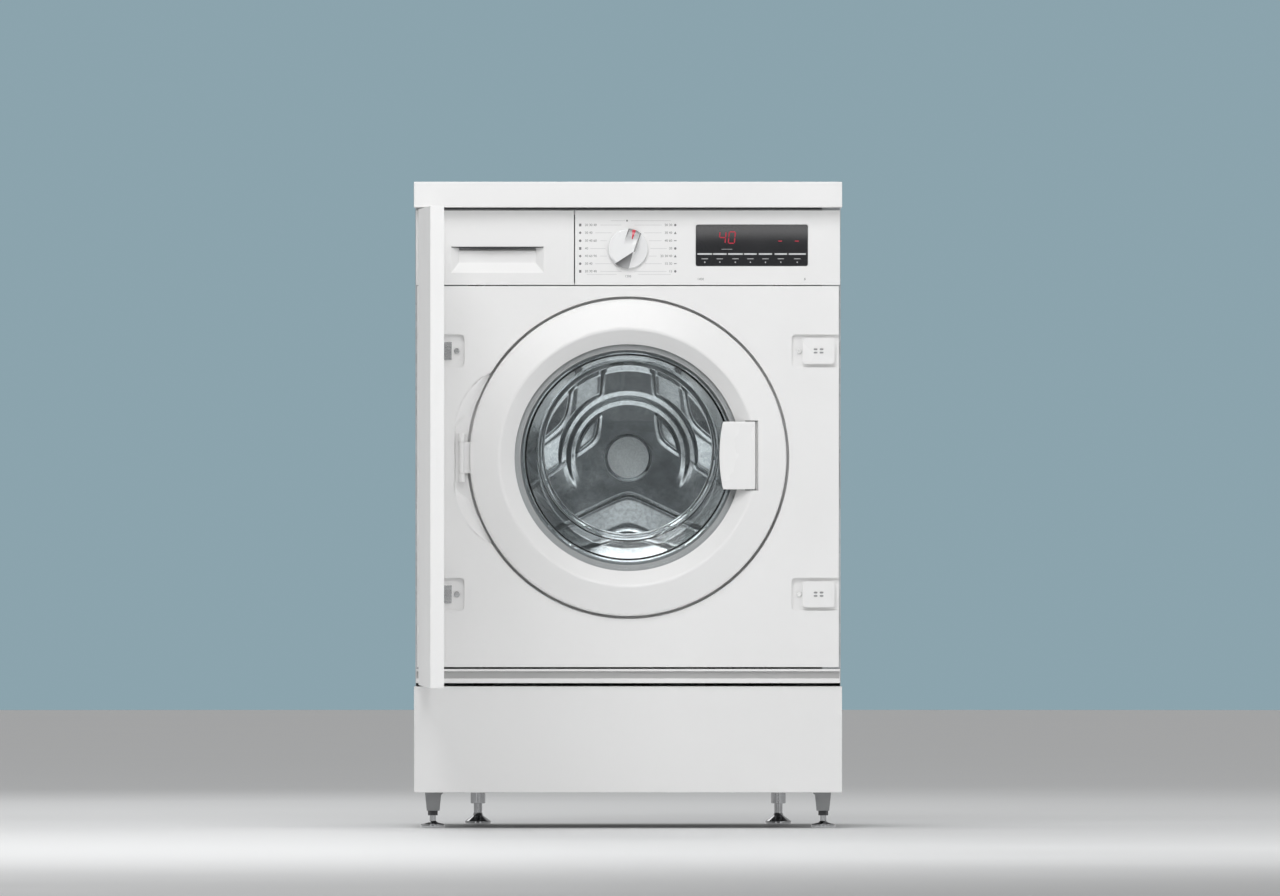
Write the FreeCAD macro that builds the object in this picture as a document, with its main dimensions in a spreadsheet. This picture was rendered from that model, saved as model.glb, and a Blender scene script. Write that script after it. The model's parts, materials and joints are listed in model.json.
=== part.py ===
"""Built-in washing machine with its furniture boards, as a parametric document.

Frame: millimetres, +Z up, the front faces -Y, +X to the right.  The origin is on the floor, on the
centre line, in the plane of the front panel's outer face.
"""
import FreeCAD
import Part
import Sketcher
import math
import os
from types import SimpleNamespace

Vector = FreeCAD.Vector

SIZES = {
    # Cabinet of folded sheet
    "body_width": 596,
    "body_depth": 544,
    "body_bottom": 60,
    "body_top": 870,
    "sheet": 1,
    "flange": 26,
    "front_return": 7.5,
    "base_front": 40,
    "base_wall": 3,
    "base_rim_top": 110,
    "bar_width": 26,
    "bar_height": 12,
    "front_bar_y": 14,
    "spring_bar_y": 287,
    "rear_bar_y": 500,
    "running_gap": 0.3,
    "fit_gap": 0.05,
    # Kitchen boards joined to the machine
    "board_overhang": 2,
    "worktop_thickness": 36,
    "worktop_overhang": 20,
    "worktop_depth": 616,
    "plinth_bottom": 50,
    "plinth_top": 199,
    "plinth_y": 6,
    "plinth_thickness": 16,
    "clip_inset": 98,
    "clip_width": 20,
    "clip_bottom": 70,
    "clip_height": 30,
    # Front panel with the dished porthole seat
    "panel_inset": 2.5,
    "panel_bottom": 226,
    "panel_top": 760,
    "panel_sheet": 1.2,
    "porthole_z": 519.5,
    "ring_radius": 222,
    "ring_gap": 4,
    "dish_depth": 14,
    "dish_rim_radius": 170,
    "dish_rim_depth": 26,
    "hinge_recess_left": 243,
    "hinge_recess_right": 40,
    "hinge_recess_bottom": 388,
    "hinge_recess_top": 650,
    "hinge_recess_depth": 5,
    "hinge_recess_corner": 95,
    "pad_reach": 68.6,
    "pad_height": 46,
    "pad_depth": 6,
    "pad_corner": 6,
    "upper_hinge_z": 669,
    "lower_hinge_z": 328,
    "rail_bottom": 203.5,
    "rail_lip": 6.5,
    "rail_web": 10,
    "rail_front": 1,
    # Control fascia
    "fascia_bottom": 761.5,
    "fascia_top": 866,
    "fascia_wall": 3,
    "fascia_inset": 1,
    "seam_room": 13,
    "seam_gap": 1.5,
    "display_inset": 46,
    "display_width": 157,
    "display_bottom": 788,
    "display_top": 846,
    "display_thickness": 2,
    "display_corner": 3,
    "display_ledge": 4,
    "knob_z": 812.6,
    "knob_radius": 27.8,
    "knob_base": 5,
    "knob_grip": 12,
    "knob_grip_width": 15,
    "knob_lean": 17,
    "spindle_radius": 3,
    "module_room": 15,
    "module_inset": 32,
    "module_bottom": 774,
    "module_top": 852,
    "module_depth": 32,
    # Detergent drawer and its housing
    "drawer_plate": 4,
    "grip_inset": 20,
    "grip_width": 130,
    "grip_bottom": 778.6,
    "grip_top": 815,
    "grip_depth": 16,
    "grip_floor": 9,
    "grip_side": 11,
    "grip_slope": 14,
    "grip_slot": 5,
    "grip_undercut": 8,
    "grip_wall": 2.5,
    "tray_inset": 30,
    "tray_width": 180,
    "tray_bottom": 785,
    "tray_height": 61,
    "tray_length": 206,
    "tray_wall": 2,
    "first_bay": 63,
    "middle_bay": 55,
    "housing_wall": 2.5,
    "housing_headroom": 7,
    "hose_offset": 83,
    "hose_y": 200,
    "hose_radius": 17,
    "hose_wall": 3.5,
    "hose_overlap": 16,
    # Porthole door
    "ring_ridge_radius": 181,
    "ring_ridge_rise": 18,
    "ring_inner_radius": 159,
    "ring_wall": 3,
    "ring_edge_rise": 7,
    "ring_back": 4,
    "frame_thickness": 6,
    "frame_bevel": 4,
    "glass_wall": 5,
    "glass_mouth": 150,
    "glass_end": 132,
    "glass_depth": 88,
    "glass_corner": 17,
    "glass_flange": 14,
    "door_pivot_x": -233,
    "door_pivot_y": -1,
    "knuckle_radius": 4.5,
    "knuckle_pin": 2,
    "knuckle_half": 34,
    "arm_half": 22,
    "arm_reach": 37,
    "handle_left": 128,
    "handle_bow": 5,
    "handle_right": 178.5,
    "handle_bottom": 475,
    "handle_top": 570,
    "handle_front": 20,
    "handle_thickness": 7,
    "handle_pivot_x": 172,
    "handle_pivot_y": -4,
    "handle_knuckle": 5,
    "handle_pin": 2.5,
    "handle_swing_room": 4.5,
    "hook_x": 203,
    "hook_y": 7,
    "hook_half": 12,
    "hook_reach": 27,
    "hook_nose": 8,
    "hook_thickness": 6,
    "lock_half": 35,
    "lock_depth": 33,
    "lock_room": 7,
    # Tub, drum and drive
    "tub_radius": 262,
    "tub_wall": 4,
    "tub_front": 66,
    "tub_neck": 160,
    "tub_face": 82,
    "tub_shoulder": 98,
    "tub_seam": 246,
    "tub_flange": 8,
    "tub_rear": 456,
    "hub_radius": 40,
    "hub_length": 20,
    "bearing_radius": 26,
    "bearing_width": 9,
    "shaft_radius": 12.5,
    "drum_radius": 240,
    "drum_sheet": 1.2,
    "drum_front": 114,
    "drum_slope": 10,
    "drum_mouth": 165,
    "drum_rear": 428,
    "drum_hub_radius": 31,
    "hub_rise": 3,
    "step_inner": 80,
    "step_outer": 91,
    "step_sink": 9,
    "back_sheet": 3,
    "spoke_half": 34,
    "petal_rise": 6,
    "petal_round": 37,
    "petal_outer": 182,
    "lip_setback": 46,
    "lip_rise": 3,
    "lifter_height": 52,
    "lifter_base": 74,
    "lifter_tip": 22,
    "spider_arm_width": 46,
    "spider_depth": 15,
    "pulley_radius": 140,
    "pulley_width": 16,
    "pulley_y": 480,
    "pulley_hub": 30,
    "pulley_web": 4,
    "pulley_rim": 8,
    "belt_thickness": 3,
    "belt_width": 14,
    "motor_x": 70,
    "motor_z": 185,
    "motor_radius": 58,
    "motor_front": 330,
    "motor_length": 130,
    "motor_shaft": 6,
    "motor_pulley_radius": 10,
    # Suspension, heater, water and drain
    "spring_x": 215,
    "spring_radius": 11,
    "spring_wire": 3,
    "spring_lug_top": 700,
    "damper_inset": 70,
    "damper_top_x": 182,
    "damper_top_z": 285,
    "damper_radius": 13,
    "damper_rod": 6,
    "lug_size": 20,
    "weight_left": 10,
    "weight_right": 190,
    "weight_front": 110,
    "weight_back": 330,
    "weight_bottom": 730,
    "weight_top": 835,
    "front_weight_inner": 188,
    "front_weight_outer": 250,
    "front_weight_y": 50,
    "front_weight_angle": 140,
    "heater_spread": 25,
    "heater_rod": 4,
    "heater_start": 180,
    "pump_x": 190,
    "pump_z": 122,
    "pump_radius": 36,
    "pump_front": 66,
    "pump_length": 110,
    "sump_x": 120,
    "sump_y": 125,
    "sump_radius": 16,
    "drain_inset": 42,
    "drain_radius": 11,
    "drain_wall": 2,
    "drain_bead": 1,
    "spigot_reach": 24,
    "spigot_setback": 2,
    "valve_offset": 93,
    "valve_z": 812,
    "valve_size": 40,
    "valve_depth": 72,
    "inlet_radius": 13.2,
    "inlet_bore": 8,
    "gland_inset": 58,
    "gland_z": 812,
    "gland_radius": 12,
    "gland_bore": 4.5,
    # Furniture door on its concealed hinges
    "door_gap": 2,
    "door_thickness": 19,
    "door_bottom": 201,
    "door_top": 867.5,
    "door_open_angle": 88,
    "hinge_axis_inset": 21,
    "hinge_axis_y": -27,
    "hinge_edge": 21,
    "hinge_sink": 3,
    "cup_radius": 17.5,
    "cup_depth": 12,
    "cup_wall": 1.5,
    "cup_offset": 1.5,
    "hinge_pin": 2.5,
    "hinge_eye": 5,
    "hinge_arm": 3,
    "hinge_arm_x": 13,
    "hinge_arm_height": 12,
    "hinge_plate_height": 25,
    "hinge_plate_inset": 8,
    "hinge_plate_width": 43,
    "hinge_plate": 2,
    "hinge_screw_inset": 58,
    "screw_head": 3.75,
    "screw_shank": 2,
    "screw_length": 14,
    "cap_inset": 8.4,
    "cap_width": 45.1,
    "cap_height": 36.5,
    "cap_rise": 2.5,
    "cap_corner": 5,
    # Feet
    "front_foot_inset": 24,
    "front_foot_y": 60,
    "front_pad_radius": 17,
    "front_pad_height": 7.4,
    "front_stud": 4.5,
    "bracket_bottom": 24,
    "bracket_width": 24,
    "bracket_flare": 14,
    "bracket_depth": 30,
    "nut_radius": 7,
    "nut_height": 6.5,
    "rear_foot_inset": 85,
    "rear_foot_y": 500,
    "rear_pad_radius": 18.5,
    "rear_pad_height": 4,
    "rear_stud": 6,
    "sleeve_radius": 10.5,
    "sleeve_bottom": 29,
    "socket_wall": 6,
    "socket_top": 92,
}

doc = FreeCAD.newDocument("built_in_washing_machine")
sheet = doc.addObject("Spreadsheet::Sheet", "sizes")
for row, (word, number) in enumerate(SIZES.items(), start=1):
    sheet.set(f"A{row}", word)
    sheet.set(f"B{row}", str(number))
    sheet.setAlias(f"B{row}", word)
doc.recompute()


class Size:
    """A length that knows its number and the sheet formula behind it."""

    def __init__(self, number, formula):
        self.number = number
        self.formula = formula

    def __add__(self, other):
        other = as_size(other)
        return Size(self.number + other.number, f"({self.formula} + {other.formula})")

    def __sub__(self, other):
        other = as_size(other)
        return Size(self.number - other.number, f"({self.formula} - {other.formula})")

    def __mul__(self, other):
        other = as_size(other)
        return Size(self.number * other.number, f"({self.formula} * {other.formula})")

    def __truediv__(self, other):
        other = as_size(other)
        return Size(self.number / other.number, f"({self.formula} / {other.formula})")

    def __radd__(self, other):
        return as_size(other) + self

    def __rsub__(self, other):
        return as_size(other) - self

    def __rmul__(self, other):
        return as_size(other) * self

    def __neg__(self):
        return Size(-self.number, f"(-{self.formula})")


def as_size(item):
    """Let a plain number stand beside a Size."""
    return item if isinstance(item, Size) else Size(float(item), f"({float(item)})")


def root(item):
    """The square root of a Size, such as a chord worked out from two radii."""
    return Size(math.sqrt(item.number), f"sqrt({item.formula})")


mm = SimpleNamespace(**{word: Size(float(sheet.get(word)), f"sizes.{word}") for word in SIZES})


# Building blocks

def bind(thing, values):
    """Drive the named properties of an object from the sheet."""
    for path, item in values.items():
        thing.setExpression(path, as_size(item).formula)
    return thing


def block(name, x, y, z):
    """A box between two values along each axis."""
    box = doc.addObject("Part::Box", name)
    sides = {"Length": x, "Width": y, "Height": z}
    bind(box, {side: as_size(ends[1]) - ends[0] for side, ends in sides.items()})
    return bind(box, {"Placement.Base.x": x[0], "Placement.Base.y": y[0], "Placement.Base.z": z[0]})


AXIS_TURN = {
    "x": FreeCAD.Rotation(Vector(0, 1, 0), 90),
    "y": FreeCAD.Rotation(Vector(1, 0, 0), -90),
    "z": FreeCAD.Rotation(),
}


def rod(name, axis, radius, start, length):
    """A cylinder along an axis from a start point (x, y, z)."""
    cylinder = doc.addObject("Part::Cylinder", name)
    cylinder.Placement = FreeCAD.Placement(Vector(), AXIS_TURN[axis])
    bind(cylinder, {"Radius": radius, "Height": length})
    return stand(cylinder, *start)


def stand(thing, x=0, y=0, z=0):
    """Set an object's place, keeping its turn."""
    return bind(thing, {"Placement.Base.x": x, "Placement.Base.y": y, "Placement.Base.z": z})


def cut(name, base, *tools):
    """Take tools away from a base."""
    for step, tool in enumerate(tools):
        result = doc.addObject("Part::Cut", name if step == len(tools) - 1 else f"{name}_cut")
        result.Base = base
        result.Tool = tool
        result.Refine = True
        base = result
    return base


def join(name, *pieces):
    """Fuse pieces that are one solid."""
    result = doc.addObject("Part::MultiFuse", name)
    result.Shapes = list(pieces)
    result.Refine = True
    return result


def common(name, base, tool):
    """Keep what two solids share."""
    result = doc.addObject("Part::Common", name)
    result.Base = base
    result.Tool = tool
    return result


def group(name, *pieces):
    """Keep separate solids of one kind together."""
    result = doc.addObject("Part::Compound", name)
    result.Links = list(pieces)
    return result


def mirrored(name, piece):
    """The same piece on the other side of the centre plane."""
    result = doc.addObject("Part::Mirroring", name)
    result.Source = piece
    result.Normal = Vector(1, 0, 0)
    return result


def arc_between(start, end, radius, turn):
    """A circular arc shorter than a half circle that turns left or right from start to end."""
    chord = end - start
    side = Vector(-chord.y, chord.x, 0).normalize()
    reach = math.sqrt(max(radius ** 2 - (chord.Length / 2) ** 2, 0))
    centre = start + chord * 0.5 + side * (reach if turn == "left" else -reach)
    first, last = (start, end) if turn == "left" else (end, start)
    angles = [math.atan2(point.y - centre.y, point.x - centre.x) for point in (first, last)]
    if angles[1] < angles[0]:
        angles[1] += 2 * math.pi
    circle = Part.Circle(centre, Vector(0, 0, 1), radius)
    return Part.ArcOfCircle(circle, *angles)


def draw(sketch, outline):
    """Draw a closed outline bound to the sheet.

    A corner is (u, v); a corner that an arc leads to is (u, v, radius, "left" or "right").
    """
    base = sketch.GeometryCount
    corners = [(as_size(corner[0]), as_size(corner[1])) for corner in outline]
    points = [Vector(u.number, v.number, 0) for u, v in corners]
    ends = []
    for index, corner in enumerate(outline):
        start, end = points[index - 1], points[index]
        if len(corner) == 2:
            sketch.addGeometry(Part.LineSegment(start, end), False)
            ends.append((1, 2))
        else:
            sketch.addGeometry(arc_between(start, end, as_size(corner[2]).number, corner[3]), False)
            ends.append((1, 2) if corner[3] == "left" else (2, 1))
    rules = []
    drivers = []
    for index, corner in enumerate(outline):
        previous = (index - 1) % len(outline)
        rules.append(Sketcher.Constraint(
            "Coincident", base + previous, ends[previous][1], base + index, ends[index][0]))
        drivers.append(None)
        for kind, length in zip(("DistanceX", "DistanceY"), corners[index]):
            rules.append(Sketcher.Constraint(kind, base + index, ends[index][1], length.number))
            drivers.append(length)
        if len(corner) > 2:
            rules.append(Sketcher.Constraint("Radius", base + index, as_size(corner[2]).number))
            drivers.append(as_size(corner[2]))
    for place, length in zip(sketch.addConstraint(rules), drivers):
        if length is not None:
            sketch.setExpression(f"Constraints[{place}]", length.formula)


def sketch_in(body, plane_role):
    """A sketch on one of a body's own origin planes."""
    plane = next(part for part in body.Origin.OriginFeatures if part.Role == plane_role)
    sketch = body.newObject("Sketcher::SketchObject", f"{body.Name}_sketch")
    sketch.AttachmentSupport = [(plane, "")]
    sketch.MapMode = "FlatFace"
    return sketch


def slab(name, axis, outline, low, high):
    """An outline padded along an axis between two values.

    The outline is (x, z) for axis y, (x, y) for axis z and (y, z) for axis x.
    """
    body = doc.addObject("PartDesign::Body", name)
    sketch = sketch_in(body, {"x": "YZ_Plane", "y": "XZ_Plane", "z": "XY_Plane"}[axis])
    draw(sketch, outline)
    start = -as_size(low) if axis == "y" else as_size(low)
    bind(sketch, {"AttachmentOffset.Base.z": start})
    pad = body.newObject("PartDesign::Pad", f"{name}_pad")
    pad.Profile = sketch
    pad.Reversed = axis == "y"
    bind(pad, {"Length": as_size(high) - low})
    return body


def turned(name, axis, outline, centre, angle=360):
    """A profile of (radius, height) turned about an axis along y or z through a centre."""
    body = doc.addObject("PartDesign::Body", name)
    sketch = sketch_in(body, {"y": "XY_Plane", "z": "XZ_Plane"}[axis])
    draw(sketch, outline)
    turn = body.newObject("PartDesign::Revolution", f"{name}_turn")
    turn.Profile = sketch
    turn.ReferenceAxis = (sketch, ["V_Axis"])
    bind(turn, {"Angle": angle})
    x, across = centre
    return stand(body, x, 0, across) if axis == "y" else stand(body, x, across, 0)


def spun(piece, clock_angle):
    """Turn a piece drawn about the origin to an angle round the drum axis, clockwise from +X."""
    piece.Placement = FreeCAD.Placement(Vector(), FreeCAD.Rotation(Vector(0, 1, 0), clock_angle))
    return stand(piece, 0, 0, axis_z)


def rectangle(x, z):
    """The outline of a rectangle."""
    return [(x[0], z[0]), (x[1], z[0]), (x[1], z[1]), (x[0], z[1])]


def rounded(x, z, radius):
    """The outline of a rectangle with round corners."""
    return [
        (x[0] + radius, z[0], radius, "left"),
        (x[1] - radius, z[0]),
        (x[1], z[0] + radius, radius, "left"),
        (x[1], z[1] - radius),
        (x[1] - radius, z[1], radius, "left"),
        (x[0] + radius, z[1]),
        (x[0], z[1] - radius, radius, "left"),
        (x[0], z[0] + radius),
    ]


# Values that several pieces share

half_width = mm.body_width / 2
wall_inside = half_width - mm.sheet
gap = mm.running_gap
axis_z = mm.porthole_z
panel_half = half_width - mm.panel_inset
half_module = half_width + mm.board_overhang
dish_radius = mm.ring_radius + mm.ring_gap
hinge_heights = (mm.upper_hinge_z, mm.lower_hinge_z)
fascia_half = half_width - mm.fascia_inset
door_width = (half_module - mm.door_gap) * 2
clip_x = half_width - mm.clip_inset
tray_left = mm.tray_inset - half_width
tray_right = tray_left + mm.tray_width
tray_split_left = tray_left + mm.first_bay
tray_split_right = tray_split_left + mm.middle_bay
hose_x = tray_left + mm.hose_offset
valve_x = tray_left + mm.valve_offset
gland_x = mm.gland_inset - half_width
drain_x = half_width - mm.drain_inset
grip_left = tray_left + mm.grip_inset
grip_right = grip_left + mm.grip_width
seam_x = tray_right + mm.seam_room
module_left = seam_x + mm.module_room
module_right = half_width - mm.module_inset
display_right = half_width - mm.display_inset
display_left = display_right - mm.display_width
hinge_axis_x = mm.hinge_axis_inset - half_width
hinge_plate_left = mm.hinge_plate_inset - half_width
hinge_plate_right = hinge_plate_left + mm.hinge_plate_width
hinge_screw_x = half_width - mm.hinge_screw_inset
cap_right = half_width - mm.cap_inset
cap_left = cap_right - mm.cap_width
pad_inner = half_width - mm.pad_reach
front_foot_x = half_width - mm.front_foot_inset
rear_foot_x = half_width - mm.rear_foot_inset
damper_base_x = half_width - mm.damper_inset
fascia_left = seam_x + mm.seam_gap / 2
post_right = tray_left - gap * 3
drawer_left = post_right + mm.seam_gap
drawer_right = seam_x - mm.seam_gap / 2
rear_sheet_back = mm.body_depth - mm.sheet
rear_sheet_front = rear_sheet_back - mm.panel_sheet
tub_inside = mm.tub_radius - mm.tub_wall
well_face = mm.drum_rear - mm.back_sheet
back_face = well_face - mm.step_sink
bar_bottom = mm.body_top - mm.sheet - mm.bar_height
damper_foot = mm.base_rim_top - mm.base_wall
damper_y = mm.spring_bar_y + mm.bar_width / 2
lock_slot_half = mm.hook_half + 2
lock_mouth = (mm.hook_x - mm.hook_thickness / 2 - mm.lock_room,
              mm.hook_x + mm.hook_thickness / 2 + mm.hook_nose + mm.lock_room)
tray_front = mm.grip_depth + mm.grip_wall
tray_back = tray_front + mm.tray_length
tray_top = mm.tray_bottom + mm.tray_height
housing_front = tray_front + 1
housing_back = tray_back + mm.housing_wall * 3
housing_floor = mm.tray_bottom - gap
housing_top = tray_top + mm.housing_headroom + mm.housing_wall
hose_bore = mm.hose_radius - mm.hose_wall
handle_room = mm.handle_pin * 0.6
handle_pocket_left = mm.handle_pivot_x - mm.handle_knuckle - 3
handle_pocket_right = mm.handle_right + mm.handle_swing_room
glass_front = mm.ring_back - mm.ring_wall
frame_back = mm.ring_back + mm.frame_thickness


def tub_height(x):
    """Half the tub's height where it is x from the axis."""
    return root(mm.tub_radius * mm.tub_radius - x * x)


hose_low = axis_z + tub_height(hose_x + mm.hose_radius) + mm.hose_overlap / 4
sump_bore = mm.sump_radius - mm.hose_wall
sump_top = axis_z - tub_height(mm.sump_x - mm.sump_radius) - mm.hose_overlap / 4
pump_neck = mm.pump_z + mm.pump_radius + mm.hose_overlap / 4
drain_tube = mm.drain_radius - mm.drain_bead
spigot_start = mm.body_depth + mm.spigot_setback
heater_radius = (mm.drum_radius + tub_inside) / 2
heater_z = axis_z - root(heater_radius * heater_radius - mm.heater_spread * mm.heater_spread)


# Cabinet

def side_wall():
    """A folded side wall with flanges at the front, the top and the back."""
    front, back = mm.front_return, mm.body_depth
    low, high = mm.body_bottom, mm.body_top
    fold = (half_width - mm.flange, half_width)
    folded = join(
        "wall_folded",
        block("wall_web", (wall_inside, half_width), (front, back), (low, high)),
        block("wall_front_fold", fold, (front, front + mm.sheet), (low, high)),
        block("wall_back_fold", fold, (back - mm.sheet, back), (low, high)),
        block("wall_top_fold", fold, (front, back), (high - mm.sheet, high)),
    )
    kick = block("wall_kick", (0, mm.body_width), (0, mm.base_front), (0, mm.rail_bottom))
    return cut("right_side_wall", folded, kick)


def foot_positions():
    """Where the four feet stand, with the radius of each stud."""
    return (
        (-front_foot_x, mm.front_foot_y, mm.front_stud),
        (front_foot_x, mm.front_foot_y, mm.front_stud),
        (-rear_foot_x, mm.rear_foot_y, mm.rear_stud),
        (rear_foot_x, mm.rear_foot_y, mm.rear_stud),
    )


def base_frame():
    """The base tray with sockets for the feet, seats for the dampers and a cradle for the pump."""
    outer = wall_inside - gap
    back = rear_sheet_front - gap
    low, high = mm.body_bottom, mm.base_rim_top
    floor = low + mm.base_wall
    tray = cut(
        "base_tray",
        block("base_outer", (-outer, outer), (mm.base_front, back), (low, high)),
        block("base_inside", (mm.base_wall - outer, outer - mm.base_wall),
              (mm.base_front + mm.base_wall, back - mm.base_wall), (floor, high + 1)),
    )
    raised = [tray]
    bores = []
    for x, y, stud in foot_positions():
        raised.append(rod("foot_socket", "z", stud + mm.socket_wall, (x, y, low), mm.socket_top - low))
        bores.append(rod("foot_bore", "z", stud + gap, (x, y, low - 1), mm.socket_top - low - 2))
    for side in (-1, 1):
        x = side * damper_base_x
        reach = mm.lug_size / 2
        raised.append(block("damper_seat", (x - reach, x + reach), (damper_y - reach, damper_y + reach),
                            (low, damper_foot)))
    saddle = block("pump_saddle", (mm.pump_x - mm.pump_radius, mm.pump_x + mm.pump_radius),
                   (mm.pump_front + mm.pump_radius, mm.pump_front + mm.pump_length - mm.pump_radius),
                   (low, mm.pump_z - mm.pump_radius / 2))
    cradle = rod("pump_cradle", "y", mm.pump_radius + gap, (mm.pump_x, mm.pump_front, mm.pump_z),
                 mm.pump_length)
    return cut("base_frame", join("base_raised", *raised, saddle), cradle, *bores)


def crossbars():
    """Three folded bars that tie the side walls together; the springs hang from the middle one."""
    reach = wall_inside - gap
    bars = []
    for y in (mm.front_bar_y, mm.spring_bar_y, mm.rear_bar_y):
        wall = mm.sheet
        channel = [
            (y, bar_bottom),
            (y + mm.bar_width, bar_bottom),
            (y + mm.bar_width, bar_bottom + mm.bar_height),
            (y + mm.bar_width - wall, bar_bottom + mm.bar_height),
            (y + mm.bar_width - wall, bar_bottom + wall),
            (y + wall, bar_bottom + wall),
            (y + wall, bar_bottom + mm.bar_height),
            (y, bar_bottom + mm.bar_height),
        ]
        bars.append(slab("crossbar", "x", channel, -reach, reach))
    return group("upper_crossbars", *bars)


def rear_panel():
    """The rear sheet, pressed out round the drive, with holes for water, drain and cable."""
    reach = wall_inside - gap
    low = mm.body_bottom + mm.base_wall
    sheet_plate = block("rear_sheet", (-reach, reach), (rear_sheet_front, rear_sheet_back),
                        (low, bar_bottom))
    press = mm.hub_length / 2
    boss_radius = mm.pulley_radius + mm.hub_radius
    boss = turned("rear_boss", "y", [
        (0, rear_sheet_back + press - mm.panel_sheet),
        (boss_radius - press, rear_sheet_back + press - mm.panel_sheet),
        (boss_radius, rear_sheet_front),
        (boss_radius + press, rear_sheet_front),
        (boss_radius + press, rear_sheet_back),
        (boss_radius, rear_sheet_back),
        (boss_radius - press, rear_sheet_back + press),
        (0, rear_sheet_back + press),
    ], (0, axis_z))
    opening = rod("rear_boss_opening", "y", boss_radius, (0, rear_sheet_front - 1, axis_z), mm.body_depth)
    holes = [
        ("inlet_hole", mm.inlet_radius + gap, valve_x, mm.valve_z),
        ("gland_hole", mm.gland_radius * 0.75 + gap, gland_x, mm.gland_z),
        ("drain_hole", mm.drain_radius + gap, drain_x, mm.pump_z),
    ]
    drills = [
        rod(name, "y", radius, (x, rear_sheet_front - 1, z), mm.body_depth)
        for name, radius, x, z in holes
    ]
    return join("rear_panel", cut("rear_plate", sheet_plate, opening, *drills), boss)


def front_panel():
    """The pressed front: folded edges, dished porthole seat, hinge recess and four hinge pads."""
    wall = mm.panel_sheet
    low, high = mm.panel_bottom, mm.panel_top
    pan = cut(
        "panel_pan",
        block("panel_outer", (-panel_half, panel_half), (0, mm.front_return), (low, high)),
        block("panel_inside", (wall - panel_half, panel_half - wall), (wall, mm.front_return + 1),
              (low + wall, high - wall)),
    )
    recess_x = (-mm.hinge_recess_left, -mm.hinge_recess_right)
    recess_z = (mm.hinge_recess_bottom, mm.hinge_recess_top)
    grown_x = (recess_x[0] - wall, recess_x[1] + wall)
    grown_z = (recess_z[0] - wall, recess_z[1] + wall)
    corner = mm.hinge_recess_corner
    solids = [
        pan,
        slab("recess_outer", "y", rounded(grown_x, grown_z, corner + wall), 0,
             mm.hinge_recess_depth + wall),
        rod("dish_outer", "y", dish_radius + wall, (0, 0, axis_z), mm.dish_depth + wall),
        rod("rim_outer", "y", mm.dish_rim_radius, (0, mm.dish_depth, axis_z),
            mm.dish_rim_depth - mm.dish_depth),
    ]
    hollows = [
        slab("recess_hollow", "y", rounded(recess_x, recess_z, corner), -1, mm.hinge_recess_depth),
        rod("dish_hollow", "y", dish_radius, (0, -1, axis_z), mm.dish_depth + 1),
        rod("rim_hollow", "y", mm.dish_rim_radius - wall, (0, -1, axis_z), mm.body_depth),
        block("lock_slot", lock_mouth, (0, mm.dish_rim_depth),
              (axis_z - lock_slot_half, axis_z + lock_slot_half)),
    ]
    hollows += [
        rod("screw_hole", "y", mm.screw_shank + gap, (side * hinge_screw_x, 0, height), mm.dish_depth)
        for side in (-1, 1)
        for height in hinge_heights
    ]
    for side in (-1, 1):
        for height in hinge_heights:
            reach = mm.pad_height / 2
            inner = (pad_inner, panel_half + mm.pad_corner * 2)
            outline = rounded(inner, (height - reach, height + reach), mm.pad_corner)
            hollow = slab("pad_hollow", "y", outline, -1, mm.pad_depth)
            solid = block("pad_solid", (pad_inner - wall, panel_half), (0, mm.pad_depth + wall),
                          (height - reach - wall, height + reach + wall))
            solids.append(solid if side > 0 else mirrored("pad_solid_left", solid))
            hollows.append(hollow if side > 0 else mirrored("pad_hollow_left", hollow))
    return cut("front_panel", join("panel_solid", *solids), *hollows)


def lower_front_rail():
    """The folded rail under the front panel: two lips with a recessed web between them."""
    wall = mm.panel_sheet
    back, front, web = mm.front_return, mm.rail_front, mm.front_return - mm.panel_sheet
    low = mm.rail_bottom
    lip = low + mm.rail_lip
    upper = lip + mm.rail_web
    high = upper + mm.rail_lip / 2
    section = [
        (back, low),
        (back, low + wall),
        (front + wall, low + wall),
        (front + wall, lip - wall),
        (back, lip - wall),
        (back, upper + wall),
        (front + wall, upper + wall),
        (front + wall, high - wall),
        (back, high - wall),
        (back, high),
        (front, high),
        (front, upper),
        (web, upper),
        (web, lip),
        (front, lip),
        (front, low),
    ]
    return slab("lower_front_rail", "x", section, -fascia_half, fascia_half)


def kitchen_boards():
    """The worktop board, the plinth board and the clips that hold the plinth."""
    board = block("top_board", (-half_module, half_module),
                  (-mm.worktop_overhang, mm.worktop_depth - mm.worktop_overhang),
                  (mm.body_top, mm.body_top + mm.worktop_thickness))
    back = mm.plinth_y + mm.plinth_thickness
    plinth = block("plinth_board", (-half_module, half_module), (mm.plinth_y, back),
                   (mm.plinth_bottom, mm.plinth_top))
    reach = mm.clip_width / 2
    jaw = mm.base_wall * 2
    clip = cut(
        "plinth_clip",
        block("clip_body", (clip_x - reach, clip_x + reach), (back, mm.base_front),
              (mm.clip_bottom, mm.clip_bottom + mm.clip_height)),
        block("clip_hollow", (clip_x - reach + jaw / 2, clip_x + reach - jaw / 2),
              (back + jaw / 2, mm.base_front - jaw / 2), (mm.clip_bottom + jaw, mm.body_top)),
    )
    clips = group("plinth_clips", clip, mirrored("plinth_clip_left", clip))
    return board, plinth, clips


# Control fascia, knob and display

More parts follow.
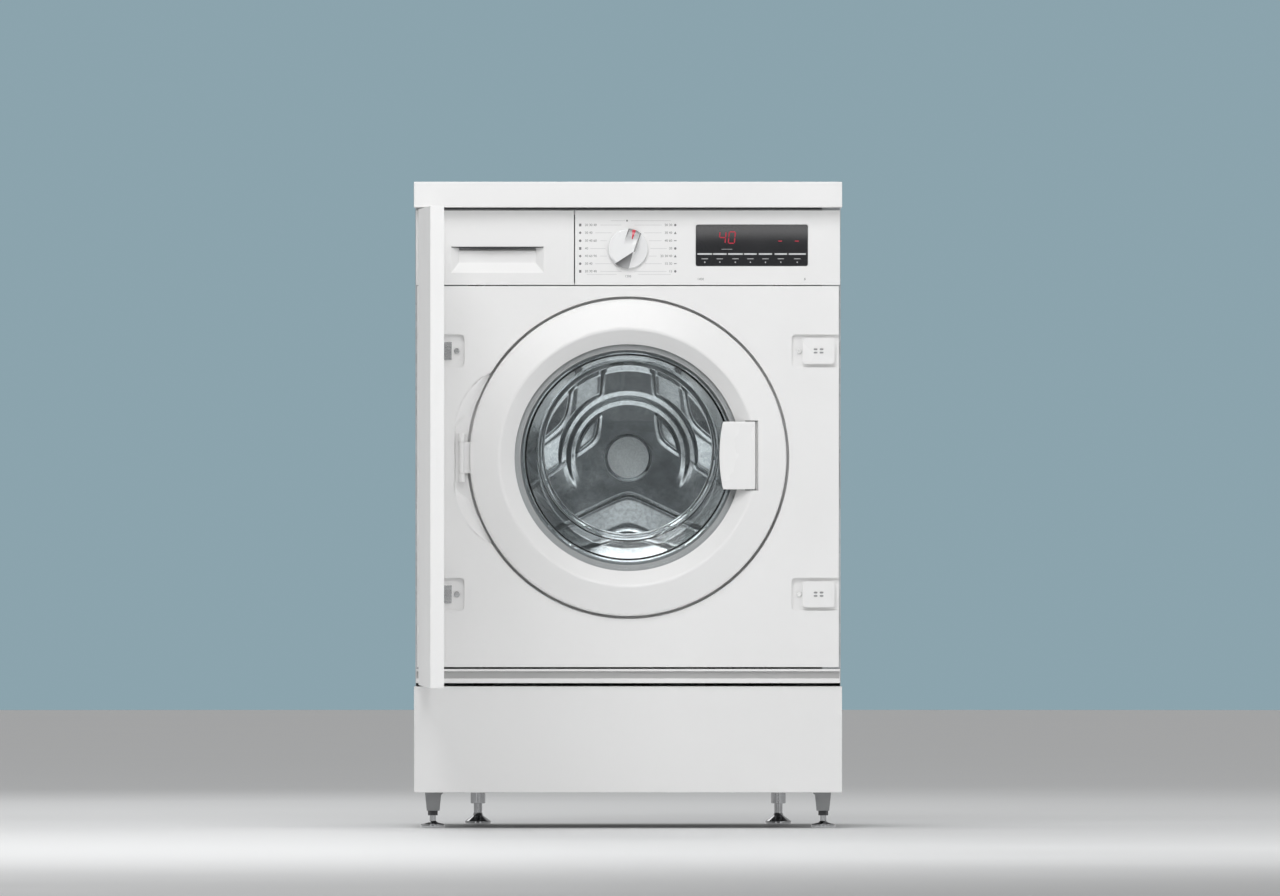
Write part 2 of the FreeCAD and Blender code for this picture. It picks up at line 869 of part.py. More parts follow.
def control_fascia():
    """The moulded fascia: a frame round the drawer, a window pocket, a spindle hole and four posts."""
    wall = mm.fascia_wall
    low, high = mm.fascia_bottom, mm.fascia_top
    behind = (wall, mm.front_return + 1)
    inner = (low + wall, high - wall)
    drawer_span = (post_right, fascia_left)
    pan = cut(
        "fascia_pan",
        block("fascia_outer", (-fascia_half, fascia_half), (0, mm.front_return), (low, high)),
        block("fascia_inside", (fascia_left + wall, fascia_half - wall), behind, inner),
        block("post_inside", (wall - fascia_half, post_right - wall), behind, inner),
        block("drawer_rebate", drawer_span, (-1, mm.drawer_plate + gap), (low - 1, high + 1)),
        block("drawer_opening", drawer_span, behind, (low + wall, high - wall * 2)),
    )
    ledge = mm.display_ledge
    window = slab("window_pocket", "y", rounded((display_left - gap, display_right + gap),
                                                (mm.display_bottom - gap, mm.display_top + gap),
                                                mm.display_corner), -1, mm.display_thickness)
    opening = block("window_opening", (display_left + ledge, display_right - ledge), (0, wall + 1),
                    (mm.display_bottom + ledge, mm.display_top - ledge))
    hole = rod("spindle_hole", "y", mm.spindle_radius * 2, (0, -1, mm.knob_z), wall + 2)
    inset = mm.spindle_radius * 3
    posts = [
        rod("module_post", "y", mm.spindle_radius * 1.5, (x, wall - 1, z), mm.front_return - wall + 1)
        for x in (module_left + inset, module_right - inset)
        for z in (mm.module_bottom + inset, mm.module_top - inset)
    ]
    return join("control_fascia", cut("fascia_plate", pan, window, opening, hole), *posts)


def display_window():
    """The dark window, flush in its pocket."""
    outline = rounded((display_left, display_right), (mm.display_bottom, mm.display_top),
                      mm.display_corner)
    return slab("display_window", "y", outline, 0, mm.display_thickness)


def control_module():
    """The electronics housing behind the fascia, with the selector bore."""
    back = mm.front_return + mm.module_depth
    step = mm.module_depth / 2
    housing = slab("module_housing", "x", [
        (mm.front_return, mm.module_bottom),
        (back - step / 2, mm.module_bottom),
        (back, mm.module_bottom + step),
        (back, mm.module_top - step),
        (back - step / 2, mm.module_top),
        (mm.front_return, mm.module_top),
    ], module_left, module_right)
    bore = rod("selector_bore", "y", mm.spindle_radius + mm.fit_gap, (0, 0, mm.knob_z), back - step / 2)
    return cut("control_module", housing, bore)


def programme_knob():
    """A round knob: skirted disc, raised leaning grip bar with a pointer notch, and a spindle."""
    base = -gap * 2
    rim = base - mm.knob_base
    radius = mm.knob_radius
    disc = turned("knob_disc", "y", [
        (0, base),
        (radius, base),
        (radius, rim + mm.knob_base / 2),
        (radius - mm.knob_base / 2, rim, mm.knob_base / 2, "right"),
        (radius * 0.6, rim + mm.knob_base / 4),
        (0, rim + mm.knob_base / 4),
    ], (0, mm.knob_z))
    half_grip = mm.knob_grip_width / 2
    end = radius - mm.knob_base / 2
    top = rim - mm.knob_grip
    bar = slab("knob_bar", "y", rounded((-half_grip, half_grip), (-end, end), half_grip * 0.9), top, base)
    slope = slab("knob_slope", "x", [
        (top - 1, -radius),
        (rim, -radius),
        (top, -radius * 0.55),
        (top, radius * 0.62),
        (rim, radius),
        (top - 1, radius),
    ], -radius, radius)
    pointer = block("knob_pointer", (-1, 1), (top - 1, top + 1), (radius * 0.2, radius * 0.55))
    grip = cut("knob_grip", bar, slope, pointer)
    grip.Placement = FreeCAD.Placement(Vector(), FreeCAD.Rotation(Vector(0, 1, 0), 0))
    stand(grip, 0, 0, mm.knob_z)
    bind(grip, {"Placement.Rotation.Angle": mm.knob_lean})
    spindle = rod("knob_spindle", "y", mm.spindle_radius, (0, base - 1, mm.knob_z),
                  mm.front_return + mm.module_depth / 2)
    return join("programme_knob", disc, grip, spindle)


# Detergent drawer

def drawer_front():
    """The drawer's face with a tapered finger pocket and a slot behind the lip at its top edge."""
    wall = mm.grip_wall
    plate = block("drawer_plate", (drawer_left, drawer_right), (0, mm.drawer_plate),
                  (mm.fascia_bottom, mm.fascia_top))
    back = mm.grip_depth + wall
    box = block("grip_box", (grip_left - wall, grip_right + wall), (0, back),
                (mm.grip_bottom - wall, mm.grip_top + mm.grip_undercut + wall))
    pocket = doc.addObject("Part::Wedge", "grip_pocket")
    side, slope = mm.grip_side / mm.grip_floor, mm.grip_slope / mm.grip_floor
    bind(pocket, {
        "Xmin": grip_left - side,
        "Xmax": grip_right + side,
        "X2min": grip_left + mm.grip_side,
        "X2max": grip_right - mm.grip_side,
        "Ymin": -1,
        "Ymax": mm.grip_floor,
        "Zmin": mm.grip_bottom - slope,
        "Zmax": mm.grip_top,
        "Z2min": mm.grip_bottom + mm.grip_slope,
        "Z2max": mm.grip_top,
    })
    slot = block("grip_slot", (grip_left + mm.grip_side, grip_right - mm.grip_side),
                 (mm.drawer_plate, mm.grip_depth),
                 (mm.grip_top - mm.grip_slot, mm.grip_top + mm.grip_undercut))
    return cut("drawer_front", join("drawer_face", plate, box), pocket, slot)


def drawer_tray():
    """The drawer with its three compartments, the middle one shallow under a siphon."""
    wall = mm.tray_wall
    body = block("tray_body", (tray_left, tray_right), (tray_front, tray_back),
                 (mm.tray_bottom, tray_top))
    bays = (
        (tray_left + wall, tray_split_left - wall / 2, 0.15),
        (tray_split_left + wall / 2, tray_split_right - wall / 2, 0.4),
        (tray_split_right + wall / 2, tray_right - wall, 0.1),
    )
    hollows = [
        block("tray_bay", (left, right), (tray_front + wall, tray_back - wall),
              (mm.tray_bottom + mm.tray_height * lift, tray_top + 1))
        for left, right, lift in bays
    ]
    return cut("drawer_tray", body, *hollows)


def dispenser_housing():
    """The housing that the drawer slides in, with the outlet to the tub below."""
    wall = mm.housing_wall
    left, right = tray_left - gap, tray_right + gap
    outer = block("housing_outer", (left - wall, right + wall), (housing_front, housing_back),
                  (housing_floor - wall, housing_top))
    inside = block("housing_inside", (left, right), (housing_front - 1, housing_back - wall),
                   (housing_floor, housing_top - wall))
    stub = rod("outlet_stub", "z", hose_bore - gap,
               (hose_x, mm.hose_y, housing_floor - wall - mm.hose_overlap), mm.hose_overlap + wall)
    drain = rod("outlet_bore", "z", hose_bore - mm.hose_wall,
                (hose_x, mm.hose_y, housing_floor - mm.hose_radius * 2), mm.hose_radius * 2 + 1)
    return cut("dispenser_housing", join("housing_shell", cut("housing_box", outer, inside), stub), drain)


# Porthole door

def door_outer_ring():
    """The white door ring: a conical outer face, a ridge and a bevel down to the glass."""
    wall = mm.ring_wall
    outer, ridge, inner = mm.ring_radius, mm.ring_ridge_radius, mm.ring_inner_radius
    edge, rise = -mm.ring_edge_rise, -mm.ring_ridge_rise
    soft = mm.ring_wall
    ring = turned("ring_shell", "y", [
        (outer, mm.ring_back),
        (outer - wall, mm.ring_back),
        (outer - wall, edge + wall + 1),
        (ridge, rise + wall * 1.3),
        (inner + wall, glass_front),
        (inner, glass_front),
        (inner, glass_front - wall),
        (ridge - soft, rise + soft * 0.4),
        (ridge + soft, rise + soft * 0.2, soft * 2, "left"),
        (outer - wall, edge),
        (outer, edge + wall, wall, "left"),
    ], (0, axis_z))
    pocket = block("handle_pocket", (handle_pocket_left, handle_pocket_right), (rise * 2, mm.ring_back),
                   (mm.handle_bottom - handle_room, mm.handle_top + handle_room))
    notch = block("arm_notch", (-outer - 2, mm.door_pivot_x + mm.arm_reach + 1),
                  (mm.door_pivot_y - mm.arm_half * 0.15, mm.ring_back + 1),
                  (axis_z - mm.arm_half - 1, axis_z + mm.arm_half + 1))
    return cut("door_outer_ring", ring, pocket, notch)


def door_inner_frame():
    """The frame behind the ring: clamps the glass, carries the handle pin and the hook pin."""
    back = mm.ring_back + mm.frame_thickness
    outer = mm.ring_radius - 1
    inner = mm.glass_mouth + 1
    plate = turned("frame_plate", "y", [
        (inner, mm.ring_back),
        (outer, mm.ring_back),
        (outer, back - 2),
        (outer - 2, back),
        (inner + mm.frame_bevel, back),
        (inner, back - 2),
    ], (0, axis_z))
    hook_bay = block("hook_bay", (mm.hook_x - mm.hook_thickness - 1, mm.hook_x + mm.hook_thickness + 3),
                     (mm.ring_back - 1, back + 1), (axis_z - mm.hook_half - 1, axis_z + mm.hook_half + 1))
    ear_half = mm.handle_pin * 1.4
    ear_z = ((mm.handle_bottom - handle_room * 2 - mm.handle_pin, mm.handle_bottom - handle_room * 2),
             (mm.handle_top + handle_room * 2, mm.handle_top + handle_room * 2 + mm.handle_pin))
    ears = [
        block("handle_ear", (mm.handle_pivot_x - ear_half, mm.handle_pivot_x + ear_half),
              (mm.handle_pivot_y - ear_half, mm.ring_back), ends)
        for ends in ear_z
    ]
    pin = rod("handle_pin", "z", mm.handle_pin, (mm.handle_pivot_x, mm.handle_pivot_y, ear_z[0][0]),
              ear_z[1][1] - ear_z[0][0])
    hook_pin = rod("hook_pin", "z", mm.knuckle_pin, (mm.hook_x, mm.hook_y, axis_z - mm.hook_half - 2),
                   mm.hook_half * 2 + 4)
    return join("door_inner_frame", cut("frame_body", plate, hook_bay), *ears, pin, hook_pin)


def door_glass():
    """The glass bowl with its clamped flange."""
    wall = mm.glass_wall
    mouth, end = mm.glass_mouth, mm.glass_end
    corner = mm.glass_corner
    deep = mm.ring_back + mm.glass_depth
    base = deep + corner
    return turned("door_glass", "y", [
        (0, base + 2 - wall),
        (end - corner, base - wall),
        (end - wall, deep, corner - wall, "right"),
        (mouth - wall, glass_front),
        (mouth + mm.glass_flange, glass_front),
        (mouth + mm.glass_flange, mm.ring_back),
        (mouth, mm.ring_back),
        (end, deep),
        (end - corner, base, corner, "left"),
        (0, base + 2),
    ], (0, axis_z))


def door_handle():
    """The pull handle: a bowed plate over the edge of the glass on a knuckle at its outer end."""
    front = -mm.handle_front
    back = front + mm.handle_thickness
    left = mm.handle_left + mm.handle_bow
    span = mm.handle_top - mm.handle_bottom
    bow_radius = span * span / (mm.handle_bow * 8) + mm.handle_bow / 2
    plate = slab("handle_plate", "y", [
        (mm.handle_right, mm.handle_bottom),
        (mm.handle_right, mm.handle_top),
        (left, mm.handle_top),
        (left, mm.handle_bottom, bow_radius, "left"),
    ], front, back)
    knuckle_z = (mm.handle_bottom + handle_room, mm.handle_top - handle_room)
    reach = mm.handle_knuckle
    web = block("handle_web", (mm.handle_pivot_x - reach, mm.handle_pivot_x + reach),
                (back - 1, mm.handle_pivot_y), knuckle_z)
    knuckle = rod("handle_knuckle", "z", reach, (mm.handle_pivot_x, mm.handle_pivot_y, knuckle_z[0]),
                  knuckle_z[1] - knuckle_z[0])
    bore = rod("handle_bore", "z", mm.handle_pin + mm.fit_gap,
               (mm.handle_pivot_x, mm.handle_pivot_y, mm.handle_bottom - 1), span + 2)
    return cut("door_handle", join("handle_body", plate, web, knuckle), bore)


def latch_hook():
    """The door hook: a shank on a pin in the frame with a nose that reaches into the lock."""
    half = mm.hook_thickness / 2
    tip = mm.hook_y + mm.hook_reach
    shank = slab("hook_shank", "z", [
        (mm.hook_x - half, mm.hook_y),
        (mm.hook_x + half, mm.hook_y),
        (mm.hook_x + half, tip - mm.hook_nose),
        (mm.hook_x + half + mm.hook_nose, tip - mm.hook_nose),
        (mm.hook_x + half, tip),
        (mm.hook_x - half, tip),
    ], axis_z - mm.hook_half, axis_z + mm.hook_half)
    knuckle = rod("hook_knuckle", "z", mm.knuckle_radius, (mm.hook_x, mm.hook_y, axis_z - mm.hook_half),
                  mm.hook_half * 2)
    bore = rod("hook_bore", "z", mm.knuckle_pin + mm.fit_gap,
               (mm.hook_x, mm.hook_y, axis_z - mm.hook_half - 1), mm.hook_half * 2 + 2)
    return cut("latch_hook", join("hook_body", shank, knuckle), bore)


def door_lock():
    """The lock behind the panel, open at the front where the hook goes in."""
    front = mm.dish_depth + mm.panel_sheet
    back = front + mm.lock_depth
    wall = mm.base_wall
    body = block("lock_body", (lock_mouth[0] - wall, lock_mouth[1] + wall), (front, back),
                 (axis_z - mm.lock_half, axis_z + mm.lock_half))
    mouth = block("lock_mouth", lock_mouth, (front - 1, back - wall * 2),
                  (axis_z - lock_slot_half, axis_z + lock_slot_half))
    return cut("door_lock", body, mouth)


def porthole_hinges():
    """The fixed leaf with two knuckles and its pin, and the arm that carries the door."""
    x, y = mm.door_pivot_x, mm.door_pivot_y
    floor = mm.hinge_recess_depth
    reach = mm.knuckle_radius
    low, high = axis_z - mm.knuckle_half, axis_z + mm.knuckle_half
    leaf_face = floor - mm.panel_sheet
    leaf = block("leaf_plate", (x - reach * 1.8, x + reach * 1.3), (leaf_face, floor), (low, high))
    knuckle_length = mm.knuckle_half - mm.arm_half - gap
    knuckles = []
    for start in (low, high - knuckle_length):
        knuckles.append(rod("leaf_knuckle", "z", reach, (x, y, start), knuckle_length))
        knuckles.append(block("leaf_web", (x - reach, x + reach), (y, floor),
                              (start, start + knuckle_length)))
    pin = rod("leaf_pin", "z", mm.knuckle_pin, (x, y, low), mm.knuckle_half * 2)
    fixed = join("porthole_hinge", leaf, *knuckles, pin)
    arm_z = (axis_z - mm.arm_half, axis_z + mm.arm_half)
    arm = join(
        "arm_body",
        rod("arm_knuckle", "z", reach - 1, (x, y, arm_z[0]), mm.arm_half * 2),
        block("arm_bar", (x, x + mm.arm_reach), (y, leaf_face - gap), arm_z),
        block("arm_foot", (x + mm.arm_reach / 2, x + mm.arm_reach), (y, mm.ring_back), arm_z),
    )
    bore = rod("arm_bore", "z", mm.knuckle_pin + mm.fit_gap, (x, y, arm_z[0] - 1), mm.arm_half * 2 + 2)
    return fixed, cut("door_hinge_arm", arm, bore)


def door_gasket():
    """The folded rubber bellows between the front panel and the tub, with a lip towards the glass."""
    clip = mm.dish_rim_radius - mm.panel_sheet - gap
    wall = mm.ring_wall
    front, rim = mm.dish_depth - 1, mm.dish_rim_depth
    neck = mm.tub_neck + mm.tub_wall + gap
    lip = mm.glass_mouth - 1.5
    fold = clip + wall * 6
    middle = rim + wall * 3
    tail = mm.tub_front + mm.hub_length / 2
    return turned("door_gasket", "y", [
        (lip, front + wall * 2),
        (clip - wall, front),
        (clip, front),
        (clip, rim + 1),
        (fold, rim + wall),
        (fold + wall, middle, wall * 3, "left"),
        (neck + wall, middle + wall * 2),
        (neck + wall, tail),
        (neck, tail),
        (neck, mm.tub_front - wall),
        (neck - wall, mm.tub_front - wall * 2),
        (neck - wall, middle),
        (fold - wall, middle - wall),
        (clip - wall, rim + wall),
        (clip - wall, front + wall * 1.6),
        (lip + 1, front + wall * 3),
    ], (0, axis_z))


# Tub, drum and drive

def tub_front():
    """The front half of the tub with its neck, the inlet spigot above and the sump outlet below."""
    wall, radius = mm.tub_wall, mm.tub_radius
    shell = turned("tub_front_shell", "y", [
        (mm.tub_neck, mm.tub_front),
        (mm.tub_neck + wall, mm.tub_front),
        (mm.tub_neck + wall, mm.tub_face),
        (radius, mm.tub_shoulder),
        (radius, mm.tub_seam - mm.tub_flange),
        (radius + mm.tub_flange, mm.tub_seam - mm.tub_flange),
        (radius + mm.tub_flange, mm.tub_seam),
        (tub_inside, mm.tub_seam),
        (tub_inside, mm.tub_shoulder + wall),
        (mm.tub_neck, mm.tub_face + wall),
    ], (0, axis_z))
    root_depth = mm.hose_radius * 2 + mm.tub_wall
    inlet = rod("inlet_spigot", "z", hose_bore - gap, (hose_x, mm.hose_y, hose_low - root_depth),
                root_depth + mm.hose_overlap)
    sump = rod("sump_spigot", "z", sump_bore - gap, (mm.sump_x, mm.sump_y, sump_top - mm.hose_overlap),
               mm.hose_overlap + root_depth)
    clear = rod("tub_front_clear", "y", tub_inside, (0, mm.tub_shoulder, axis_z), mm.tub_seam)
    return join("tub_front", shell, cut("inlet_stub", inlet, clear), cut("sump_stub", sump, clear))


def tub_rear():
    """The rear half of the tub with the bearing hub, ribs, and lugs for springs and dampers."""
    wall, radius, rear = mm.tub_wall, mm.tub_radius, mm.tub_rear
    seam, flange = mm.tub_seam, mm.tub_flange
    shell = turned("tub_rear_shell", "y", [
        (tub_inside, seam),
        (radius + flange, seam),
        (radius + flange, seam + flange),
        (radius, seam + flange),
        (radius, rear),
        (mm.hub_radius, rear),
        (mm.hub_radius, rear + mm.hub_length),
        (mm.bearing_radius, rear + mm.hub_length),
        (mm.bearing_radius, rear - wall),
        (tub_inside, rear - wall),
    ], (0, axis_z))
    ribs = [
        spun(slab("tub_rib", "y", rectangle((mm.hub_radius - 1, radius), (-wall / 2, wall / 2)),
                  rear - 1, rear + mm.hub_length / 2), 30 * step + 15)
        for step in range(12)
    ]
    half = mm.lug_size / 2
    clear = rod("tub_rear_clear", "y", tub_inside, (0, seam, axis_z), rear - seam)
    lugs = []
    for side in (-1, 1):
        x = side * mm.spring_x
        lugs.append(block("spring_lug", (x - half, x + half), (damper_y - half, damper_y + half),
                          (axis_z, mm.spring_lug_top)))
        x = side * mm.damper_top_x
        lugs.append(block("damper_lug", (x - half, x + half), (damper_y - half, damper_y + half),
                          (mm.damper_top_z, axis_z)))
    outside = [cut("tub_lug", lug, clear) for lug in lugs]
    heater_holes = [
        rod("heater_hole", "y", mm.heater_rod + gap, (side * mm.heater_spread, seam, heater_z), rear)
        for side in (-1, 1)
    ]
    return cut("tub_rear", join("tub_rear_body", shell, *ribs, *outside), *heater_holes)


def drum_bearings():
    """Two ball bearings in the hub, shown as plain rings."""
    start = mm.tub_rear - mm.tub_wall / 2
    gap_between = mm.hub_length + mm.tub_wall / 2 - mm.bearing_width
    rings = []
    for y in (start, start + gap_between):
        rings.append(turned("bearing_ring", "y", [
            (mm.shaft_radius + mm.fit_gap, y),
            (mm.bearing_radius, y),
            (mm.bearing_radius, y + mm.bearing_width),
            (mm.shaft_radius + mm.fit_gap, y + mm.bearing_width),
        ], (0, axis_z)))
    return group("drum_bearings", *rings)


def drum_shell():
    """The drum's wall and its sloping front with a rolled mouth."""
    wall, front, slope = mm.drum_sheet, mm.drum_front, mm.drum_slope
    radius, mouth = mm.drum_radius, mm.drum_mouth
    return turned("drum_shell", "y", [
        (mouth, front + slope),
        (mouth, front),
        (mouth + wall, front - wall),
        (radius - wall, front + slope - wall),
        (radius, front + slope),
        (radius, mm.drum_rear),
        (radius - wall, mm.drum_rear),
        (radius - wall, front + slope),
        (mouth + wall, front),
        (mouth + wall, front + slope),
    ], (0, axis_z))


def petal(edge, rounding, outer):
    """A petal's outline on +X: a round point towards the hub, edges along the spokes, an outer arc."""
    sixty = math.radians(60)
    run = rounding / math.tan(sixty)
    near = (edge / math.sin(sixty) + run * math.cos(sixty), run * math.sin(sixty))
    reach = root(outer * outer - edge * edge)
    far = (reach * math.cos(sixty) + edge * math.sin(sixty), reach * math.sin(sixty) - edge * math.cos(sixty))
    return [
        (near[0], -near[1], rounding, "left"),
        (far[0], -far[1]),
        (far[0], far[1], outer, "left"),
        (near[0], near[1]),
    ]


def petals(name, outline, low, high):
    """Three petals of one outline between the spokes."""
    return join(name, *[spun(slab("drum_petal", "y", outline, low, high), turn) for turn in (90, 210, 330)])


def drum_back():
    """The drum's back: a pressed sheet with a hub, a round step, flat spokes and raised petals."""
    wall, rise, outer = mm.back_sheet, mm.petal_rise, mm.petal_outer
    radius = mm.drum_radius - mm.drum_sheet
    back = mm.drum_rear
    hub, step_in, step_out = mm.drum_hub_radius, mm.step_inner, mm.step_outer
    disc = turned("drum_disc", "y", [
        (0, back),
        (0, well_face - mm.hub_rise),
        (hub - mm.hub_rise, well_face - mm.hub_rise),
        (hub, well_face),
        (step_in, well_face),
        (step_out, back_face),
        (radius, back_face),
        (radius, back),
        (radius - wall, back),
        (radius - wall, back_face + wall),
        (step_out + wall, back_face + wall),
        (step_in + wall, back),
    ], (0, axis_z))
    crown = turned("petal_crown", "y", [
        (0, well_face - rise),
        (step_in, well_face - rise),
        (step_out, back_face - rise),
        (outer, back_face - rise),
        (outer, back_face + wall),
        (step_out + wall, back_face + wall),
        (step_in + wall, back),
        (0, back),
    ], (0, axis_z))
    cavity = turned("petal_cavity", "y", [
        (0, well_face - rise + wall),
        (step_in + wall, well_face - rise + wall),
        (step_out + wall, back_face - rise + wall),
        (outer, back_face - rise + wall),
        (outer, back + 1),
        (0, back + 1),
    ], (0, axis_z))
    outline = petal(mm.spoke_half, mm.petal_round, outer)
    inside = petal(mm.spoke_half + wall, mm.petal_round - wall, outer - wall)
    raised = common("petals_raised", petals("petals_outer", outline, mm.drum_front, back), crown)
    hollow = common("petals_hollow", petals("petals_inner", inside, mm.drum_front, back + 1), cavity)
    lip_outline = petal(mm.spoke_half + mm.lip_setback, mm.petal_round, outer)
    lip_top = back_face - rise - mm.lip_rise
    lip = petals("petal_lips", lip_outline, lip_top, lip_top + mm.lip_rise + wall / 2)
    return join("drum_back", cut("drum_pressing", join("drum_raised", disc, raised), hollow), lip)


def drum_lifters():
    """Three hollow-looking ribs along the drum wall that lift the laundry."""
    inside = mm.drum_radius - mm.drum_sheet - gap
    low = inside - mm.lifter_height
    base, tip = mm.lifter_base / 2, mm.lifter_tip / 2
    section = [
        (inside + 1, -base),
        (inside + 1, base),
        (low + tip, tip),
        (low, 0, tip, "left"),
        (low + tip, -tip, tip, "left"),
    ]
    lifters = []
    for turn in (30, 150, 270):
        rib = slab("lifter_rib", "y", section, mm.drum_front + mm.drum_slope + gap,
                   back_face - gap)
        bound = rod("lifter_bound", "y", inside, (0, 0, 0), mm.drum_rear)
        lifters.append(spun(common("drum_lifter", rib, bound), turn))
    return group("drum_lifters", *lifters)


def drum_spider():
    """The three-armed cross behind the drum with its shaft."""
    start = mm.drum_rear
    end = mm.pulley_y + mm.pulley_width + mm.pulley_web
    hub = turned("spider_hub", "y", [
        (0, start),
        (mm.hub_radius, start),
        (mm.hub_radius, start + mm.spider_depth / 2),
        (mm.shaft_radius, start + mm.spider_depth),
        (mm.shaft_radius, end),
        (0, end),
    ], (0, axis_z))
    half = mm.spider_arm_width / 2
    tip = mm.drum_radius - mm.drum_sheet * 3
    arm = [(0, -half), (tip, -half / 2), (tip, half / 2), (0, half)]
    arms = [
        spun(slab("spider_arm", "y", arm, start, start + mm.spider_depth * 0.6), turn)
        for turn in (30, 150, 270)
    ]
    return join("drum_spider", hub, *arms)


def drum_pulley():
    """The large belt pulley with six lightening holes."""
    y, width = mm.pulley_y, mm.pulley_width
    web = y + (width - mm.pulley_web) / 2
    bore = mm.shaft_radius
    inner = mm.pulley_radius - mm.pulley_rim
    wheel = turned("pulley_wheel", "y", [
        (bore, y),
        (mm.pulley_hub, y),
        (mm.pulley_hub, web),
        (inner, web),
        (inner, y),
        (mm.pulley_radius, y),
        (mm.pulley_radius, y + width),
        (inner, y + width),
        (inner, web + mm.pulley_web),
        (mm.pulley_hub, web + mm.pulley_web),
        (mm.pulley_hub, y + width),
        (bore, y + width),
    ], (0, axis_z))
    ring = (mm.pulley_hub + inner) / 2
    size = (inner - mm.pulley_hub) * 0.36
    holes = [
        spun(slab("pulley_hole", "y", circle_outline(ring, size), y - 1, y + width + 1), 60 * step)
        for step in range(6)
    ]
    return cut("drum_pulley", wheel, *holes)


def circle_outline(x, radius):
    """A circle about a point on +X, as four quarter arcs."""
    return [
        (x + radius, 0, radius, "left"),
        (x, radius, radius, "left"),
        (x - radius, 0, radius, "left"),
        (x, -radius, radius, "left"),
    ]


def drive_motor():
    """The motor under the tub with cooling ring, end bells and two lugs to the tub."""
    radius, front, length = mm.motor_radius, mm.motor_front, mm.motor_length
    end = front + length
    bell = length * 0.22
    body = turned("motor_body", "y", [
        (mm.motor_shaft + mm.fit_gap, front),
        (radius * 0.7, front),
        (radius * 0.9, front + bell / 2),
        (radius * 0.9, front + bell),
        (radius, front + bell),
        (radius, end - bell),
        (radius * 0.9, end - bell),
        (radius * 0.9, end - bell / 2),
        (radius * 0.6, end),
        (mm.motor_shaft + mm.fit_gap, end),
    ], (mm.motor_x, mm.motor_z))
    half = mm.lug_size / 2
    reach = radius - half
    tub = rod("motor_lug_clear", "y", mm.tub_radius + gap, (0, 0, axis_z), mm.body_depth)
    lugs = []
    for x in (mm.motor_x - reach, mm.motor_x + reach):
        lug = block("motor_lug", (x - half / 2, x + half / 2), (front + bell * 1.5, end - bell * 1.5),
                    (mm.motor_z, axis_z - mm.tub_radius / 2))
        lugs.append(cut("motor_ear", lug, tub, rod("motor_shaft_clear", "y", radius * 0.8,
                                                   (mm.motor_x, 0, mm.motor_z), mm.body_depth)))
    return join("drive_motor", body, *lugs)


def motor_pulley():
    """The motor shaft with its small belt pulley."""
    y, width = mm.pulley_y, mm.pulley_width
    radius, shaft = mm.motor_pulley_radius, mm.motor_shaft
    rim = radius + mm.belt_thickness / 2
    edge = (width - mm.belt_width) / 4
    return turned("motor_pulley", "y", [
        (0, mm.motor_front - mm.motor_shaft),
        (shaft, mm.motor_front - mm.motor_shaft),
        (shaft, y),
        (rim, y),
        (rim, y + edge),
        (radius, y + edge),
        (radius, y + width - edge),
        (rim, y + width - edge),
        (rim, y + width),
        (0, y + width),
    ], (mm.motor_x, mm.motor_z))


def belt_loop(small, large, y, width):
    """The closed band round two circles, as a solid between two parallel planes."""
    small_centre = Vector(mm.motor_x.number, y, mm.motor_z.number)
    large_centre = Vector(0, y, axis_z.number)
    along = large_centre - small_centre
    lean = math.asin((large - small) / along.Length)
    bearing = math.atan2(along.z, along.x)

    def on(centre, radius, angle):
        return centre + Vector(radius * math.cos(angle), 0, radius * math.sin(angle))

    left, right = bearing + math.pi / 2 + lean, bearing - math.pi / 2 - lean
    edges = [
        Part.LineSegment(on(small_centre, small, left), on(large_centre, large, left)).toShape(),
        Part.Arc(on(large_centre, large, left), on(large_centre, large, bearing),
                 on(large_centre, large, right)).toShape(),
        Part.LineSegment(on(large_centre, large, right), on(small_centre, small, right)).toShape(),
        Part.Arc(on(small_centre, small, right), on(small_centre, small, bearing + math.pi),
                 on(small_centre, small, left)).toShape(),
    ]
    return Part.Face(Part.Wire(edges)).extrude(Vector(0, width, 0))


def drive_belt():
    """The ribbed belt as a flat band round both pulleys."""
    start = mm.pulley_y.number + (mm.pulley_width.number - mm.belt_width.number) / 2
    inner = [size.number + gap.number for size in (mm.motor_pulley_radius, mm.pulley_radius)]
    outer = [size + mm.belt_thickness.number for size in inner]
    width = mm.belt_width.number
    belt = doc.addObject("Part::Feature", "drive_belt")
    belt.Shape = belt_loop(*outer, start, width).cut(belt_loop(*inner, start, width))
    return belt


# Suspension, weights, heater, water and drain

def suspension_springs():
    """Two springs from the middle crossbar to the tub, as plain tubes of the coil's size."""
    low = mm.spring_lug_top
    coil = cut(
        "spring_right",
        rod("spring_outer", "z", mm.spring_radius, (mm.spring_x, damper_y, low), bar_bottom - low),
        rod("spring_bore", "z", mm.spring_radius - mm.spring_wire, (mm.spring_x, damper_y, low - 1),
            mm.body_top),
    )
    return group("suspension_springs", coil, mirrored("spring_left", coil))


def shock_absorbers():
    """Two friction dampers that lean in from the base to the tub."""
    start = Vector(damper_base_x.number, damper_y.number, damper_foot.number)
    end = Vector(mm.damper_top_x.number, damper_y.number, mm.damper_top_z.number)
    lean = (end - start).normalize()
    rise = math.sqrt(1 - lean.z ** 2)
    start = start + lean * ((mm.damper_radius.number * rise + gap.number) / lean.z)
    end = end - lean * ((mm.damper_rod.number * rise + gap.number) / lean.z)
    length = (end - start).Length
    tube = Part.makeCylinder(mm.damper_radius.number, length * 0.6, start, lean)
    piston = Part.makeCylinder(mm.damper_rod.number, length, start, lean)
    damper = doc.addObject("Part::Feature", "damper_right")
    damper.Shape = tube.fuse(piston).removeSplitter()
    return group("shock_absorbers", damper, mirrored("damper_left", damper))


